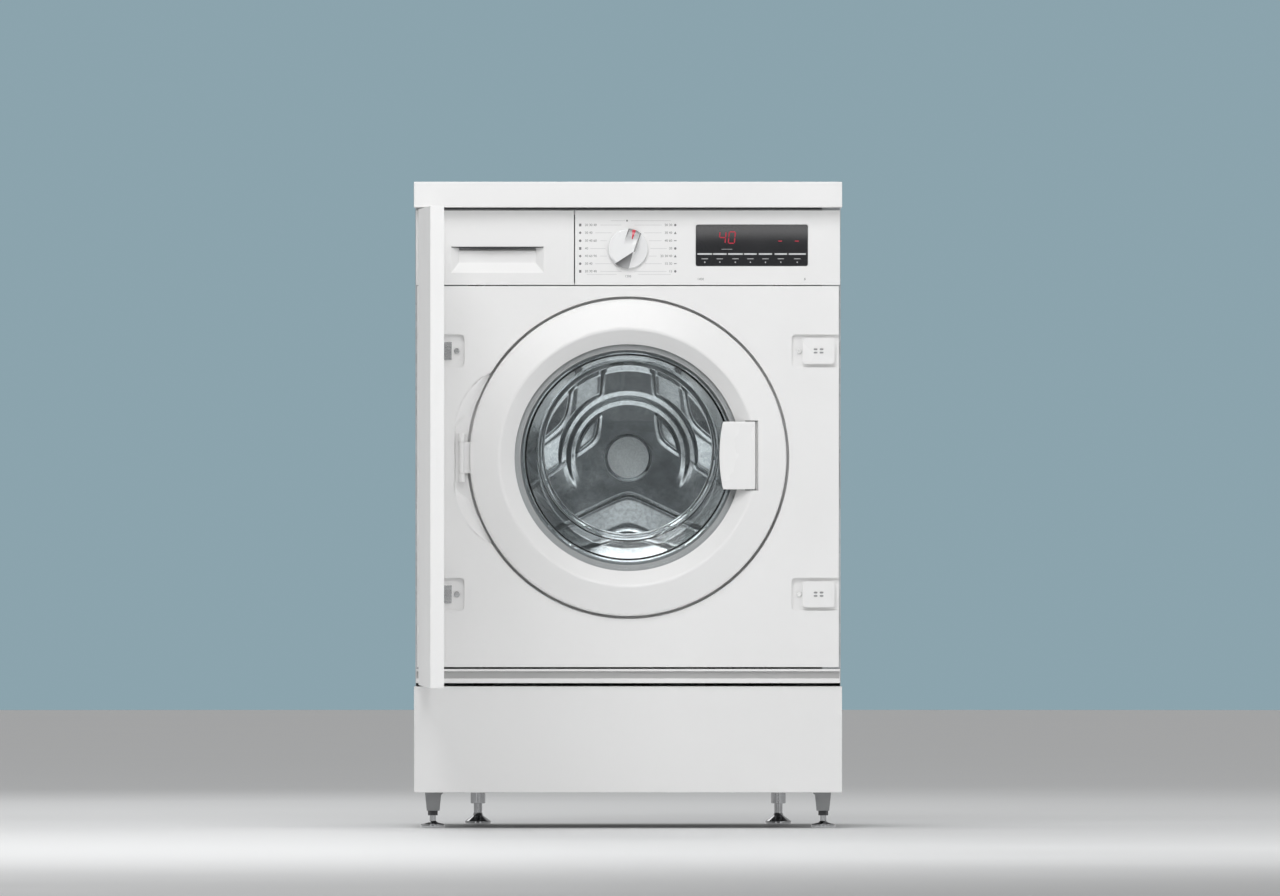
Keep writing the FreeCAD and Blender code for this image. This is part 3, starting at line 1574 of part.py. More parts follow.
def counterweights():
    """The concrete block on top of the tub and the curved one round its front."""
    flange = mm.tub_radius + mm.tub_flange + gap
    top = cut(
        "upper_weight",
        block("weight_block", (mm.weight_left, mm.weight_right), (mm.weight_front, mm.weight_back),
              (mm.weight_bottom, mm.weight_top)),
        rod("weight_tub", "y", mm.tub_radius + gap, (0, 0, axis_z), mm.body_depth),
        rod("weight_flange", "y", flange, (0, mm.tub_seam - mm.tub_flange - gap, axis_z),
            mm.tub_flange * 2 + gap * 2),
    )
    slope = (mm.tub_shoulder - mm.tub_face) / (mm.tub_radius - mm.tub_neck - mm.tub_wall)

    def face(radius):
        return mm.tub_face + (radius - mm.tub_neck - mm.tub_wall) * slope - gap

    inner, outer = mm.front_weight_inner, mm.front_weight_outer
    front = turned("front_weight", "y", [
        (inner, mm.front_weight_y),
        (outer, mm.front_weight_y),
        (outer, face(outer)),
        (inner, face(inner)),
    ], (0, axis_z), mm.front_weight_angle)
    front.Placement = FreeCAD.Placement(Vector(), FreeCAD.Rotation(Vector(0, 1, 0), 0))
    bind(front, {"Placement.Rotation.Angle": 90 - mm.front_weight_angle / 2})
    return group("counterweights", top, front)


def heating_element():
    """The looped heater rod in the bottom of the tub with its flange outside the rear wall."""
    rods = [
        rod("heater_leg", "y", mm.heater_rod, (side * mm.heater_spread, mm.heater_start, heater_z),
            mm.tub_rear + mm.heater_rod * 3 - mm.heater_start)
        for side in (-1, 1)
    ]
    bend = doc.addObject("Part::Torus", "heater_bend")
    bind(bend, {"Radius1": mm.heater_spread, "Radius2": mm.heater_rod})
    bend.Angle3 = 180
    bend.Placement = FreeCAD.Placement(Vector(), FreeCAD.Rotation(Vector(0, 0, 1), 180))
    stand(bend, 0, mm.heater_start, heater_z)
    reach = mm.heater_spread + mm.heater_rod * 2
    flange = block("heater_flange", (-reach, reach), (mm.tub_rear, mm.tub_rear + mm.heater_rod),
                   (heater_z - mm.heater_rod * 2, heater_z + mm.heater_rod * 2))
    return join("heating_element", *rods, bend, flange)


def hose_tube(name, points, bends, radius, wall):
    """A bent tube along straight runs joined by tangent arcs."""
    edges = []
    start = points[0]
    for before, corner, after, bend in zip(points, points[1:], points[2:], bends):
        come = (corner - before).normalize()
        leave = (after - corner).normalize()
        half_turn = come.getAngle(leave) / 2
        trim = bend * math.tan(half_turn)
        first, last = corner - come * trim, corner + leave * trim
        toward = (leave - come).normalize()
        middle = corner + toward * (bend / math.cos(half_turn) - bend)
        edges.append(Part.LineSegment(start, first).toShape())
        edges.append(Part.Arc(first, middle, last).toShape())
        start = last
    edges.append(Part.LineSegment(start, points[-1]).toShape())
    path = Part.Wire(edges)
    direction = points[1] - points[0]
    solids = []
    for size in (radius, radius - wall):
        ring = Part.Wire(Part.makeCircle(size, points[0], direction))
        solids.append(path.makePipeShell([ring], True, False))
    tube = doc.addObject("Part::Feature", name)
    tube.Shape = solids[0].cut(solids[1])
    section = math.pi * (radius ** 2 - (radius - wall) ** 2)
    print(name, "volume against section times length:", tube.Shape.Volume / (section * path.Length))
    return tube


def sump_hose():
    """The hose from the tub's lowest point to the pump."""
    top = Vector(mm.sump_x.number, mm.sump_y.number, sump_top.number)
    low = Vector(mm.pump_x.number, mm.sump_y.number, pump_neck.number)
    middle = (top.z + low.z) / 2
    bend = (top.z - low.z) / 4
    points = [top, Vector(top.x, top.y, middle), Vector(low.x, low.y, middle), low]
    return hose_tube("sump_hose", points, (bend, bend), mm.sump_radius.number, mm.hose_wall.number)


def drain_pump():
    """The pump with its filter cap at the front, an inlet neck above and an outlet at the side."""
    radius, front, length = mm.pump_radius, mm.pump_front, mm.pump_length
    cap = radius * 0.3
    body = turned("pump_body", "y", [
        (0, front),
        (radius * 0.8, front),
        (radius * 0.8, front + cap),
        (radius, front + cap),
        (radius, front + length * 0.7),
        (radius * 0.7, front + length * 0.7),
        (radius * 0.7, front + length),
        (0, front + length),
    ], (mm.pump_x, mm.pump_z))
    neck = rod("pump_neck", "z", sump_bore - gap, (mm.pump_x, mm.sump_y, mm.pump_z),
               pump_neck + mm.hose_overlap - mm.pump_z)
    outlet = rod("pump_outlet", "x", drain_tube - mm.drain_wall - gap,
                 (mm.pump_x, mm.sump_y, mm.pump_z), mm.pump_radius + mm.drain_radius)
    return join("drain_pump", body, neck, outlet)


def drain_pipe():
    """The drain pipe from the pump along the base to its spigot at the back."""
    start = Vector((mm.pump_x + mm.pump_radius + gap).number, mm.sump_y.number, mm.pump_z.number)
    corner = Vector(drain_x.number, start.y, start.z)
    end = Vector(corner.x, (mm.body_depth + mm.spigot_reach).number, start.z)
    bend = (corner - start).Length * 0.6
    tube = hose_tube("drain_tube", [start, corner, end], (bend,), drain_tube.number, mm.drain_wall.number)
    foot = (drain_x, spigot_start, mm.pump_z)
    free = mm.spigot_reach - mm.spigot_setback
    bead = cut(
        "drain_bead",
        rod("bead_outer", "y", mm.drain_radius, foot, free),
        rod("bead_bore", "y", drain_tube - mm.drain_wall / 2, foot, free),
    )
    return join("drain_pipe", tube, bead)


def dispenser_hose():
    """The short hose from the drawer housing down to the tub."""
    length = housing_floor - mm.housing_wall - hose_low
    return cut(
        "dispenser_hose",
        rod("hose_outer", "z", mm.hose_radius, (hose_x, mm.hose_y, hose_low), length),
        rod("hose_inside", "z", hose_bore, (hose_x, mm.hose_y, hose_low - 1), length + 2),
    )


def water_inlet():
    """The inlet valve with its threaded stub, and the tube that feeds the drawer housing."""
    half = mm.valve_size / 2
    back = rear_sheet_front
    front = back - mm.valve_depth
    body = block("valve_body", (valve_x - half, valve_x + half), (front, back - mm.valve_size / 4),
                 (mm.valve_z - half, mm.valve_z + half))
    shoulder = rod("valve_shoulder", "y", half, (valve_x, back - half, mm.valve_z), half)
    neck = rod("valve_neck", "y", mm.inlet_radius - mm.drain_bead, (valve_x, back - half, mm.valve_z),
               spigot_start - back + half)
    stub = rod("valve_stub", "y", mm.inlet_radius, (valve_x, spigot_start, mm.valve_z),
               back + mm.spigot_reach - spigot_start)
    bore = rod("valve_bore", "y", mm.inlet_bore, (valve_x, back - half, mm.valve_z),
               half + mm.spigot_reach * 2)
    valve = cut("water_inlet_valve", join("valve_solid", body, shoulder, neck, stub), bore)
    run = front - housing_back
    tube = cut(
        "inlet_tube",
        rod("inlet_tube_outer", "y", mm.inlet_bore + mm.drain_wall,
            (valve_x, housing_back, mm.valve_z), run),
        rod("inlet_tube_bore", "y", mm.inlet_bore, (valve_x, housing_back - 1, mm.valve_z), run + 2),
    )
    return valve, tube


def cable_gland():
    """The gland in the rear panel where the mains lead would pass."""
    neck = mm.gland_radius * 0.75
    inside, outside = rear_sheet_front - mm.gland_bore, rear_sheet_back + mm.gland_bore * 2
    return turned("cable_gland", "y", [
        (mm.gland_bore, inside),
        (neck, inside),
        (neck, rear_sheet_back),
        (mm.gland_radius, rear_sheet_back),
        (mm.gland_radius, outside - mm.gland_bore),
        (neck, outside),
        (mm.gland_bore, outside),
    ], (gland_x, mm.gland_z))


# Furniture door on its concealed hinges

def on_hinge(piece):
    """Swing a piece drawn about the hinge axis with the door shut to where the door stands open."""
    piece.Placement = FreeCAD.Placement(Vector(), FreeCAD.Rotation(Vector(0, 0, -1), 1))
    stand(piece, hinge_axis_x, mm.hinge_axis_y, 0)
    return bind(piece, {"Placement.Rotation.Angle": mm.door_open_angle})


def furniture_door():
    """The door board with two cup holes, and the cups with their pins."""
    inner = mm.hinge_sink
    board = block("door_board", (-mm.hinge_edge, door_width - mm.hinge_edge),
                  (inner - mm.door_thickness, inner), (mm.door_bottom, mm.door_top))
    holes = [
        rod("cup_hole", "y", mm.cup_radius + mm.fit_gap, (mm.cup_offset, inner - mm.cup_depth, height),
            mm.cup_depth + 1)
        for height in hinge_heights
    ]
    cups = []
    for height in hinge_heights:
        radius, wall = mm.cup_radius, mm.cup_wall
        floor = inner - mm.cup_depth
        pot = turned("cup_pot", "y", [
            (0, floor),
            (radius, floor),
            (radius, inner),
            (radius - wall, inner),
            (radius - wall, floor + wall),
            (0, floor + wall),
        ], (mm.cup_offset, height))
        reach = radius - wall / 2 - mm.cup_offset / 2
        pin = rod("cup_pin", "z", mm.hinge_pin, (0, 0, height - reach), reach * 2)
        cups.append(join("hinge_cup", pot, pin))
    return on_hinge(cut("furniture_door_panel", board, *holes)), on_hinge(group("hinge_cups", *cups))


def furniture_hinge_arms():
    """Two cranked arms from the hinge pads to the pins in the door's cups."""
    x, y = hinge_axis_x, mm.hinge_axis_y
    half = mm.hinge_arm / 2
    elbow = x + mm.hinge_arm_x
    floor = mm.pad_depth
    arms = []
    for height in hinge_heights:
        arm_z = (height - mm.hinge_arm_height / 2, height + mm.hinge_arm_height / 2)
        crank = slab("arm_crank", "z", [
            (x, y - half),
            (elbow + half, y - half),
            (elbow + half, floor),
            (elbow - half, floor),
            (elbow - half, y + half),
            (x, y + half),
        ], *arm_z)
        eye = rod("arm_eye", "z", mm.hinge_eye, (x, y, arm_z[0]), mm.hinge_arm_height)
        plate = block("arm_plate", (hinge_plate_left, hinge_plate_right),
                      (floor - mm.hinge_plate, floor),
                      (height - mm.hinge_plate_height / 2, height + mm.hinge_plate_height / 2))
        bore = rod("eye_bore", "z", mm.hinge_pin + mm.fit_gap, (x, y, arm_z[0] - 1),
                   mm.hinge_arm_height + 2)
        arms.append(cut("hinge_arm", join("hinge_arm_body", crank, eye, plate), bore))
    return group("furniture_hinge_arms", *arms)


def hinge_cover_caps():
    """The caps over the unused hinge pads on the other side, each with four dimples."""
    caps = []
    reach = mm.cap_height / 2
    middle = (cap_left + cap_right) / 2
    dimple = mm.cap_rise * 0.7
    for height in hinge_heights:
        cap = slab("cap_body", "y", rounded((cap_left, cap_right), (height - reach, height + reach),
                                            mm.cap_corner), -mm.cap_rise, mm.pad_depth)
        spots = [
            (middle + mm.cap_rise * 1.6 * across, -mm.cap_rise * 2, height + mm.cap_rise * up)
            for across in (-1, 1)
            for up in (-1, 1)
        ]
        dimples = [rod("cap_dimple", "y", dimple, spot, mm.cap_rise * 1.6) for spot in spots]
        caps.append(cut("cover_cap", cap, *dimples))
    return group("hinge_cover_caps", *caps)


def panel_screws():
    """The four screws of the hinge pads."""
    screws = []
    for side in (-1, 1):
        for height in hinge_heights:
            floor = mm.pad_depth
            head = mm.screw_head
            screws.append(turned("panel_screw", "y", [
                (0, floor - head * 0.6),
                (head * 0.6, floor - head * 0.6),
                (head, floor),
                (mm.screw_shank, floor),
                (mm.screw_shank, floor + mm.screw_length),
                (0, floor + mm.screw_length + mm.screw_shank),
            ], (side * hinge_screw_x, height)))
    return group("panel_screws", *screws)


# Feet

def foot_holders():
    """The front foot brackets with their lock nuts, and the rear sleeves."""
    x, y = front_foot_x, mm.front_foot_y
    half = mm.bracket_width / 2
    low, high = mm.bracket_bottom, mm.body_bottom
    post = slab("bracket_post", "y", [
        (x - half, low),
        (x + half, low),
        (x + half, high),
        (x - half - mm.bracket_flare, high),
        (x - half, high - mm.bracket_flare),
    ], y - mm.bracket_depth / 2, y + mm.bracket_depth / 2)
    bracket = cut("foot_bracket", post, rod("bracket_bore", "z", mm.front_stud + gap, (x, y, 0), high + 1))
    turns = [math.radians(60 * step) for step in range(6)]
    corners = [(x + mm.nut_radius * math.cos(turn), y + mm.nut_radius * math.sin(turn)) for turn in turns]
    nut = cut(
        "lock_nut",
        slab("nut_body", "z", corners, low - mm.nut_height, low),
        rod("nut_bore", "z", mm.front_stud + gap, (x, y, 0), high),
    )
    inner = mm.rear_stud + gap
    sleeve = turned("foot_sleeve", "z", [
        (inner, mm.sleeve_bottom),
        (mm.sleeve_radius, mm.sleeve_bottom),
        (mm.sleeve_radius, high),
        (inner, high),
    ], (rear_foot_x, mm.rear_foot_y))
    return (
        group("front_foot_brackets", bracket, mirrored("foot_bracket_left", bracket)),
        group("foot_lock_nuts", nut, mirrored("lock_nut_left", nut)),
        group("rear_foot_sleeves", sleeve, mirrored("foot_sleeve_left", sleeve)),
    )


def feet():
    """Four screw feet: broad pads in front, coned pads at the back."""
    top = mm.socket_top - mm.socket_wall
    front = [
        (0, 0),
        (mm.front_pad_radius - 1, 0),
        (mm.front_pad_radius, 1),
        (mm.front_pad_radius, mm.front_pad_height * 0.7),
        (mm.front_stud * 1.6, mm.front_pad_height),
        (mm.front_stud, mm.front_pad_height + 2),
        (mm.front_stud, top),
        (0, top),
    ]
    rear = [
        (0, 0),
        (mm.rear_pad_radius, 0),
        (mm.rear_pad_radius, mm.rear_pad_height),
        (mm.rear_stud * 1.2, mm.rear_pad_height * 3),
        (mm.rear_stud, mm.rear_pad_height * 4),
        (mm.rear_stud, top),
        (0, top),
    ]
    names = ("left_front_foot", "right_front_foot", "left_rear_foot", "right_rear_foot")
    outlines = (front, front, rear, rear)
    return [
        turned(name, "z", outline, (x, y))
        for name, outline, (x, y, stud) in zip(names, outlines, foot_positions())
    ]


# The whole machine

right_wall = side_wall()
sub_parts = [
    right_wall,
    mirrored("left_side_wall", right_wall),
    base_frame(),
    crossbars(),
    rear_panel(),
    front_panel(),
    lower_front_rail(),
    *kitchen_boards(),
    control_fascia(),
    display_window(),
    control_module(),
    programme_knob(),
    drawer_front(),
    drawer_tray(),
    dispenser_housing(),
    dispenser_hose(),
    door_outer_ring(),
    door_inner_frame(),
    door_glass(),
    door_handle(),
    latch_hook(),
    door_lock(),
    *porthole_hinges(),
    door_gasket(),
    tub_front(),
    tub_rear(),
    drum_bearings(),
    drum_shell(),
    drum_back(),
    drum_lifters(),
    drum_spider(),
    drum_pulley(),
    drive_motor(),
    motor_pulley(),
    drive_belt(),
    suspension_springs(),
    shock_absorbers(),
    counterweights(),
    heating_element(),
    sump_hose(),
    drain_pump(),
    drain_pipe(),
    *water_inlet(),
    cable_gland(),
    *furniture_door(),
    furniture_hinge_arms(),
    hinge_cover_caps(),
    panel_screws(),
    *foot_holders(),
    *feet(),
]
doc.recompute()

failed = [item.Label for item in doc.Objects if {"Invalid", "Error"} & set(item.State)]
if failed:
    raise RuntimeError(f"failed objects: {failed}")
for part in sub_parts:
    if part.Shape.isNull() or not part.Shape.isValid():
        raise RuntimeError(f"bad shape: {part.Label}")

os.makedirs("parts", exist_ok=True)
for part in sub_parts:
    part.Shape.exportStep(f"parts/{part.Label}.step")
print(len(sub_parts), "sub-parts written")
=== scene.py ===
"""Built-in washing machine: materials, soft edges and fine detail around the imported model."""

import json
import math

import bmesh
import bpy
from mathutils import Matrix, Vector

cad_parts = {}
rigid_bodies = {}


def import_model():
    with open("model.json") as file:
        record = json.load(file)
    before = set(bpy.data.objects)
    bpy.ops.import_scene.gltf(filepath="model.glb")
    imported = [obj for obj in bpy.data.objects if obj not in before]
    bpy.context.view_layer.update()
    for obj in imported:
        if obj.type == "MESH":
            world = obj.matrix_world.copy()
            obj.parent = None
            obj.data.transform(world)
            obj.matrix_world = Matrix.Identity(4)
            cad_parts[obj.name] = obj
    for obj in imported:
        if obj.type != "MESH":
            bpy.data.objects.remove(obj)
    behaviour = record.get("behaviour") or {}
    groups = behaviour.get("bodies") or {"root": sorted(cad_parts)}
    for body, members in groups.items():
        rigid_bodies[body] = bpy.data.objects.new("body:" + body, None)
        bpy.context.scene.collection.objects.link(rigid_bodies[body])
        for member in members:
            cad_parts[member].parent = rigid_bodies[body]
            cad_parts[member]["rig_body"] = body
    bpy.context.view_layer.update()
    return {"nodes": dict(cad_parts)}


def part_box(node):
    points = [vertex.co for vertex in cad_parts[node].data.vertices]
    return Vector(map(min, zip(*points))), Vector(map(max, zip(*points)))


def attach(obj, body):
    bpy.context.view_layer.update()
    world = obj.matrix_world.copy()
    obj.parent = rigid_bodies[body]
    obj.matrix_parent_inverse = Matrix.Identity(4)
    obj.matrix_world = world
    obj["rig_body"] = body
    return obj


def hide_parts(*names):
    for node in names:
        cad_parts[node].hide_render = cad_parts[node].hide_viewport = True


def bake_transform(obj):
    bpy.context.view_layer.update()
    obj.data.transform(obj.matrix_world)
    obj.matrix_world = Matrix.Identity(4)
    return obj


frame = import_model()
nodes = frame["nodes"]
scene = bpy.context.scene
scene.view_settings.view_transform = "Standard"

# Shapes are written in millimetres, materials and node groups in metres
MM = 0.001
TURN = 2 * math.pi
AXIS_Z = 519.5
KNOB_Z = 812.6
PRINT_LIFT = 0.08

# Edges of the knob's facets as (across, up, start) from its centre; positive on the facet's side
KNOB_RIGHT = (-0.945, 0.326, 8.51)
KNOB_LEFT = (0.95, -0.312, 8.22)
KNOB_SCOOP = (0.543, -0.839, -7.8)
KNOB_SCOOP_SIDE = (-0.968, 0.25, 8.29)


# Node helpers

def is_output(value):
    """Whether a value is a node's output and not a plain number or colour."""
    return isinstance(value, bpy.types.NodeSocket)


def tree_of(*values):
    """The node tree that the first output among some values belongs to."""
    return next(value.id_data for value in values if is_output(value))


def feed(inputs, sources):
    """Joins outputs to inputs by name, and sets the inputs that get a plain value."""
    for word, source in sources.items():
        if is_output(source):
            source.id_data.links.new(source, inputs[word])
        else:
            inputs[word].default_value = source


def add(tree, kind, sources=None, **settings):
    """The outputs of a new node, with its settings and what feeds it."""
    node = tree.nodes.new(kind)
    for word, value in settings.items():
        setattr(node, word, value)
    feed(node.inputs, sources or {})
    return node.outputs


def sums(action, *values):
    """One arithmetic step and its result."""
    return add(tree_of(*values), "ShaderNodeMath", dict(enumerate(values)), operation=action)[0]


def laid(value, start, end, low=0.0, high=1.0, **settings):
    """A value laid from the range start to end over the range low to high."""
    sources = {"Value": value, "From Min": start, "From Max": end, "To Min": low, "To Max": high}
    return add(tree_of(value), "ShaderNodeMapRange", sources, **settings)["Result"]


def spread(noise, low, high):
    """Noise laid over the range low to high."""
    return laid(noise, 0.3, 0.7, low, high)


def drift(noise, middle, depth):
    """Noise laid over a range that reaches a depth to both sides of its middle."""
    return spread(noise, sums("SUBTRACT", middle, depth), sums("ADD", middle, depth))


def tinted(colour, factor):
    """A colour scaled by a factor."""
    tree = tree_of(colour, factor)
    return add(tree, "ShaderNodeVectorMath", {0: colour, "Scale": factor}, operation="SCALE")["Vector"]


def blend(factor, first, second):
    """One colour over another by a mask."""
    sources = {"Factor": factor, "A": first, "B": second}
    return add(tree_of(factor), "ShaderNodeMix", sources, data_type="RGBA")["Result"]


def own_place(tree):
    """The piece's own coordinates."""
    return add(tree, "ShaderNodeTexCoord")["Object"]


def split_place(tree):
    """The piece's own coordinates as three outputs."""
    return add(tree, "ShaderNodeSeparateXYZ", {"Vector": own_place(tree)})


def noise_on(tree, scale, detail, vector=None):
    """Noise on the piece's own coordinates, or on a vector made from them."""
    if vector is None:
        vector = own_place(tree)
    return add(tree, "ShaderNodeTexNoise", {"Vector": vector, "Scale": scale, "Detail": detail})["Fac"]


def node_group(kind, name, inputs, outputs):
    """An empty group with named sockets: its tree, what it is given and what it has to make."""
    tree = bpy.data.node_groups.new(name, kind + "NodeTree")
    for word, sort, value in inputs:
        socket = tree.interface.new_socket(word, in_out="INPUT", socket_type="NodeSocket" + sort)
        if value is not None:
            socket.default_value = value
    for word, sort in outputs:
        tree.interface.new_socket(word, in_out="OUTPUT", socket_type="NodeSocket" + sort)
    return tree, add(tree, "NodeGroupInput"), tree.nodes.new("NodeGroupOutput").inputs


# Node groups shared by the finishes

def cloudy_tone_group():
    """Slow drift of tone and gloss, as on any moulded, painted or rolled sheet."""
    tree, given, made = node_group(
        "Shader", "cloudy_tone",
        [("Colour", "Color", (1, 1, 1, 1)), ("Cloud Size", "Float", 0.1), ("Depth", "Float", 0.02),
         ("Roughness", "Float", 0.4), ("Gloss Depth", "Float", 0.05)],
        [("Colour", "Color"), ("Roughness", "Float")])
    cloud = noise_on(tree, sums("DIVIDE", 1.0, given["Cloud Size"]), 4.0)
    feed(made, {
        "Colour": tinted(given["Colour"], drift(cloud, 1.0, given["Depth"])),
        "Roughness": drift(cloud, given["Roughness"], given["Gloss Depth"])})
    return tree


def moulded_skin_group():
    """Fine pebbled skin of sprayed enamel or textured plastic."""
    tree, given, made = node_group(
        "Shader", "moulded_skin", [("Grain Size", "Float", 0.001), ("Ripple", "Float", 0.3)],
        [("Height", "Float")])
    scale = sums("DIVIDE", 1.0, given["Grain Size"])
    fine = noise_on(tree, scale, 2.0)
    broad = noise_on(tree, sums("MULTIPLY", scale, 0.12), 1.0)
    feed(made, {"Height": sums("MULTIPLY_ADD", broad, given["Ripple"], fine)})
    return tree


def drawn_lines_group():
    """Fine lines left by rolling or brushing, along the axis with the smallest stretch."""
    tree, given, made = node_group(
        "Shader", "drawn_lines", [("Stretch", "Vector", (20, 900, 900))],
        [("Height", "Float"), ("Mask", "Float")])
    place = add(tree, "ShaderNodeVectorMath", {0: own_place(tree), 1: given["Stretch"]}, operation="MULTIPLY")
    lines = noise_on(tree, 1.0, 3.0, place["Vector"])
    feed(made, {"Height": lines, "Mask": spread(lines, 0.0, 1.0)})
    return tree


def zinc_spangle_group():
    """Crystal patches of hot-dip zinc."""
    tree, given, made = node_group(
        "Shader", "zinc_spangle", [("Crystal Size", "Float", 0.008), ("Contrast", "Float", 0.2)],
        [("Shade", "Float"), ("Mask", "Float")])
    scale = sums("DIVIDE", 1.0, given["Crystal Size"])
    cells = add(tree, "ShaderNodeTexVoronoi", {"Vector": own_place(tree), "Scale": scale}, feature="F1")
    split = add(tree, "ShaderNodeSeparateColor", {"Color": cells["Color"]})
    feed(made, {"Shade": drift(split["Red"], 1.0, given["Contrast"]), "Mask": split["Green"]})
    return tree


def rub_marks_group():
    """Scattered faint rubs that dull or brighten a hard surface."""
    tree, given, made = node_group(
        "Shader", "rub_marks", [("Rub Size", "Float", 0.02), ("Amount", "Float", 0.5)], [("Mask", "Float")])
    patch = noise_on(tree, sums("DIVIDE", 1.0, given["Rub Size"]), 6.0)
    edge = sums("MULTIPLY_ADD", given["Amount"], -0.3, 0.75)
    over = sums("MULTIPLY", sums("SUBTRACT", patch, edge), 6.0)
    feed(made, {"Mask": add(tree, "ShaderNodeClamp", {"Value": over})["Result"]})
    return tree


CLOUDY_TONE = cloudy_tone_group()
MOULDED_SKIN = moulded_skin_group()
DRAWN_LINES = drawn_lines_group()
ZINC_SPANGLE = zinc_spangle_group()
RUB_MARKS = rub_marks_group()


# Finishes

def use(tree, group, **values):
    """Places a shared group and sets its inputs, with spaces written as underscores."""
    sources = {word.replace("_", " "): value for word, value in values.items()}
    return add(tree, "ShaderNodeGroup", sources, node_tree=group)


def toned(name, colour, roughness, cloud, depth, gloss):
    """A material with drifting colour and gloss: itself, its tree, its shader's inputs and the tone."""
    material = bpy.data.materials.new(name)
    material.use_nodes = True
    tree = material.node_tree
    shader = tree.nodes["Principled BSDF"].inputs
    tone = use(tree, CLOUDY_TONE, Colour=(*colour, 1), Cloud_Size=cloud, Depth=depth,
               Roughness=roughness, Gloss_Depth=gloss)
    feed(shader, {"Base Color": tone["Colour"], "Roughness": tone["Roughness"]})
    return material, tree, shader, tone


def bump(height, depth):
    """The normal of a surface raised by a height map."""
    return add(tree_of(height), "ShaderNodeBump", {"Distance": depth, "Height": height})["Normal"]


def smooth_finish(name, colour, roughness, cloud, depth, gloss, grain, skin, coat=0.0):
    """Paint, enamel, laminate, plastic or rubber: drifting tone over a fine skin."""
    material, tree, shader, _ = toned(name, colour, roughness, cloud, depth, gloss)
    height = use(tree, MOULDED_SKIN, Grain_Size=grain)["Height"]
    feed(shader, {"Normal": bump(height, skin), "Coat Weight": coat, "Coat Roughness": 0.12})
    return material


def drawn_metal(name, colour, roughness, stretch, lines=0.000004, rubs=0.2):
    """Rolled, brushed or turned metal."""
    material, tree, shader, tone = toned(name, colour, roughness, 0.05, 0.05, 0.06)
    grain = use(tree, DRAWN_LINES, Stretch=stretch)
    marks = use(tree, RUB_MARKS, Rub_Size=0.015, Amount=rubs)
    feed(shader, {
        "Base Color": tinted(tone["Colour"], spread(grain["Mask"], 0.93, 1.05)),
        "Roughness": sums("MULTIPLY_ADD", marks["Mask"], 0.12, tone["Roughness"]),
        "Normal": bump(grain["Height"], lines),
        "Metallic": 1.0})
    return material


def zinc_sheet(name, colour, roughness):
    """Galvanised steel sheet."""
    material, tree, shader, tone = toned(name, colour, roughness, 0.15, 0.06, 0.05)
    crystals = use(tree, ZINC_SPANGLE, Crystal_Size=0.009, Contrast=0.055)
    feed(shader, {
        "Base Color": tinted(tone["Colour"], crystals["Shade"]),
        "Roughness": sums("MULTIPLY_ADD", crystals["Mask"], 0.07, tone["Roughness"]),
        "Normal": bump(crystals["Mask"], 0.00001),
        "Metallic": 0.85})
    return material


def glowing_finish(name, colour, strength):
    """Lit segments of the display, a little uneven."""
    material, _, shader, tone = toned(name, colour, 0.35, 0.004, 0.12, 0.05)
    feed(shader, {"Emission Color": tone["Colour"], "Emission Strength": strength})
    return material


def glass_finish(name):
    """Pressed clear glass that lets the lamps light what is behind it."""
    material, tree, shader, _ = toned(name, (0.93, 0.965, 0.97), 0.012, 0.08, 0.01, 0.008)
    feed(shader, {"Transmission Weight": 1.0, "IOR": 1.47})
    clear = add(tree, "ShaderNodeBsdfTransparent", {"Color": (0.86, 0.9, 0.91, 1)})["BSDF"]
    shadow = add(tree, "ShaderNodeLightPath")["Is Shadow Ray"]
    solid = tree.nodes["Principled BSDF"].outputs["BSDF"]
    mixed = add(tree, "ShaderNodeMixShader", {"Fac": shadow, 1: solid, 2: clear})["Shader"]
    feed(tree.nodes["Material Output"].inputs, {"Surface": mixed})
    return material


def bowed_window(name, low, high):
    """Gloss black window that bows back a little towards its top and its ends."""
    material, tree, shader, _ = toned(name, (0.012, 0.012, 0.014), 0.13, 0.05, 0.1, 0.02)
    place = split_place(tree)
    up = sums("SUBTRACT", place["Z"], low.z)
    along = sums("SUBTRACT", place["X"], (low.x + high.x) / 2)
    fall = sums("MULTIPLY", sums("MULTIPLY", up, up), -1.5)
    bow = sums("MULTIPLY_ADD", sums("MULTIPLY", along, along), -0.1, fall)
    feed(shader, {"Normal": bump(bow, 1.0), "Coat Weight": 1.0, "Coat Roughness": 0.1,
                  "IOR": 1.62, "Specular IOR Level": 1.0})
    return material


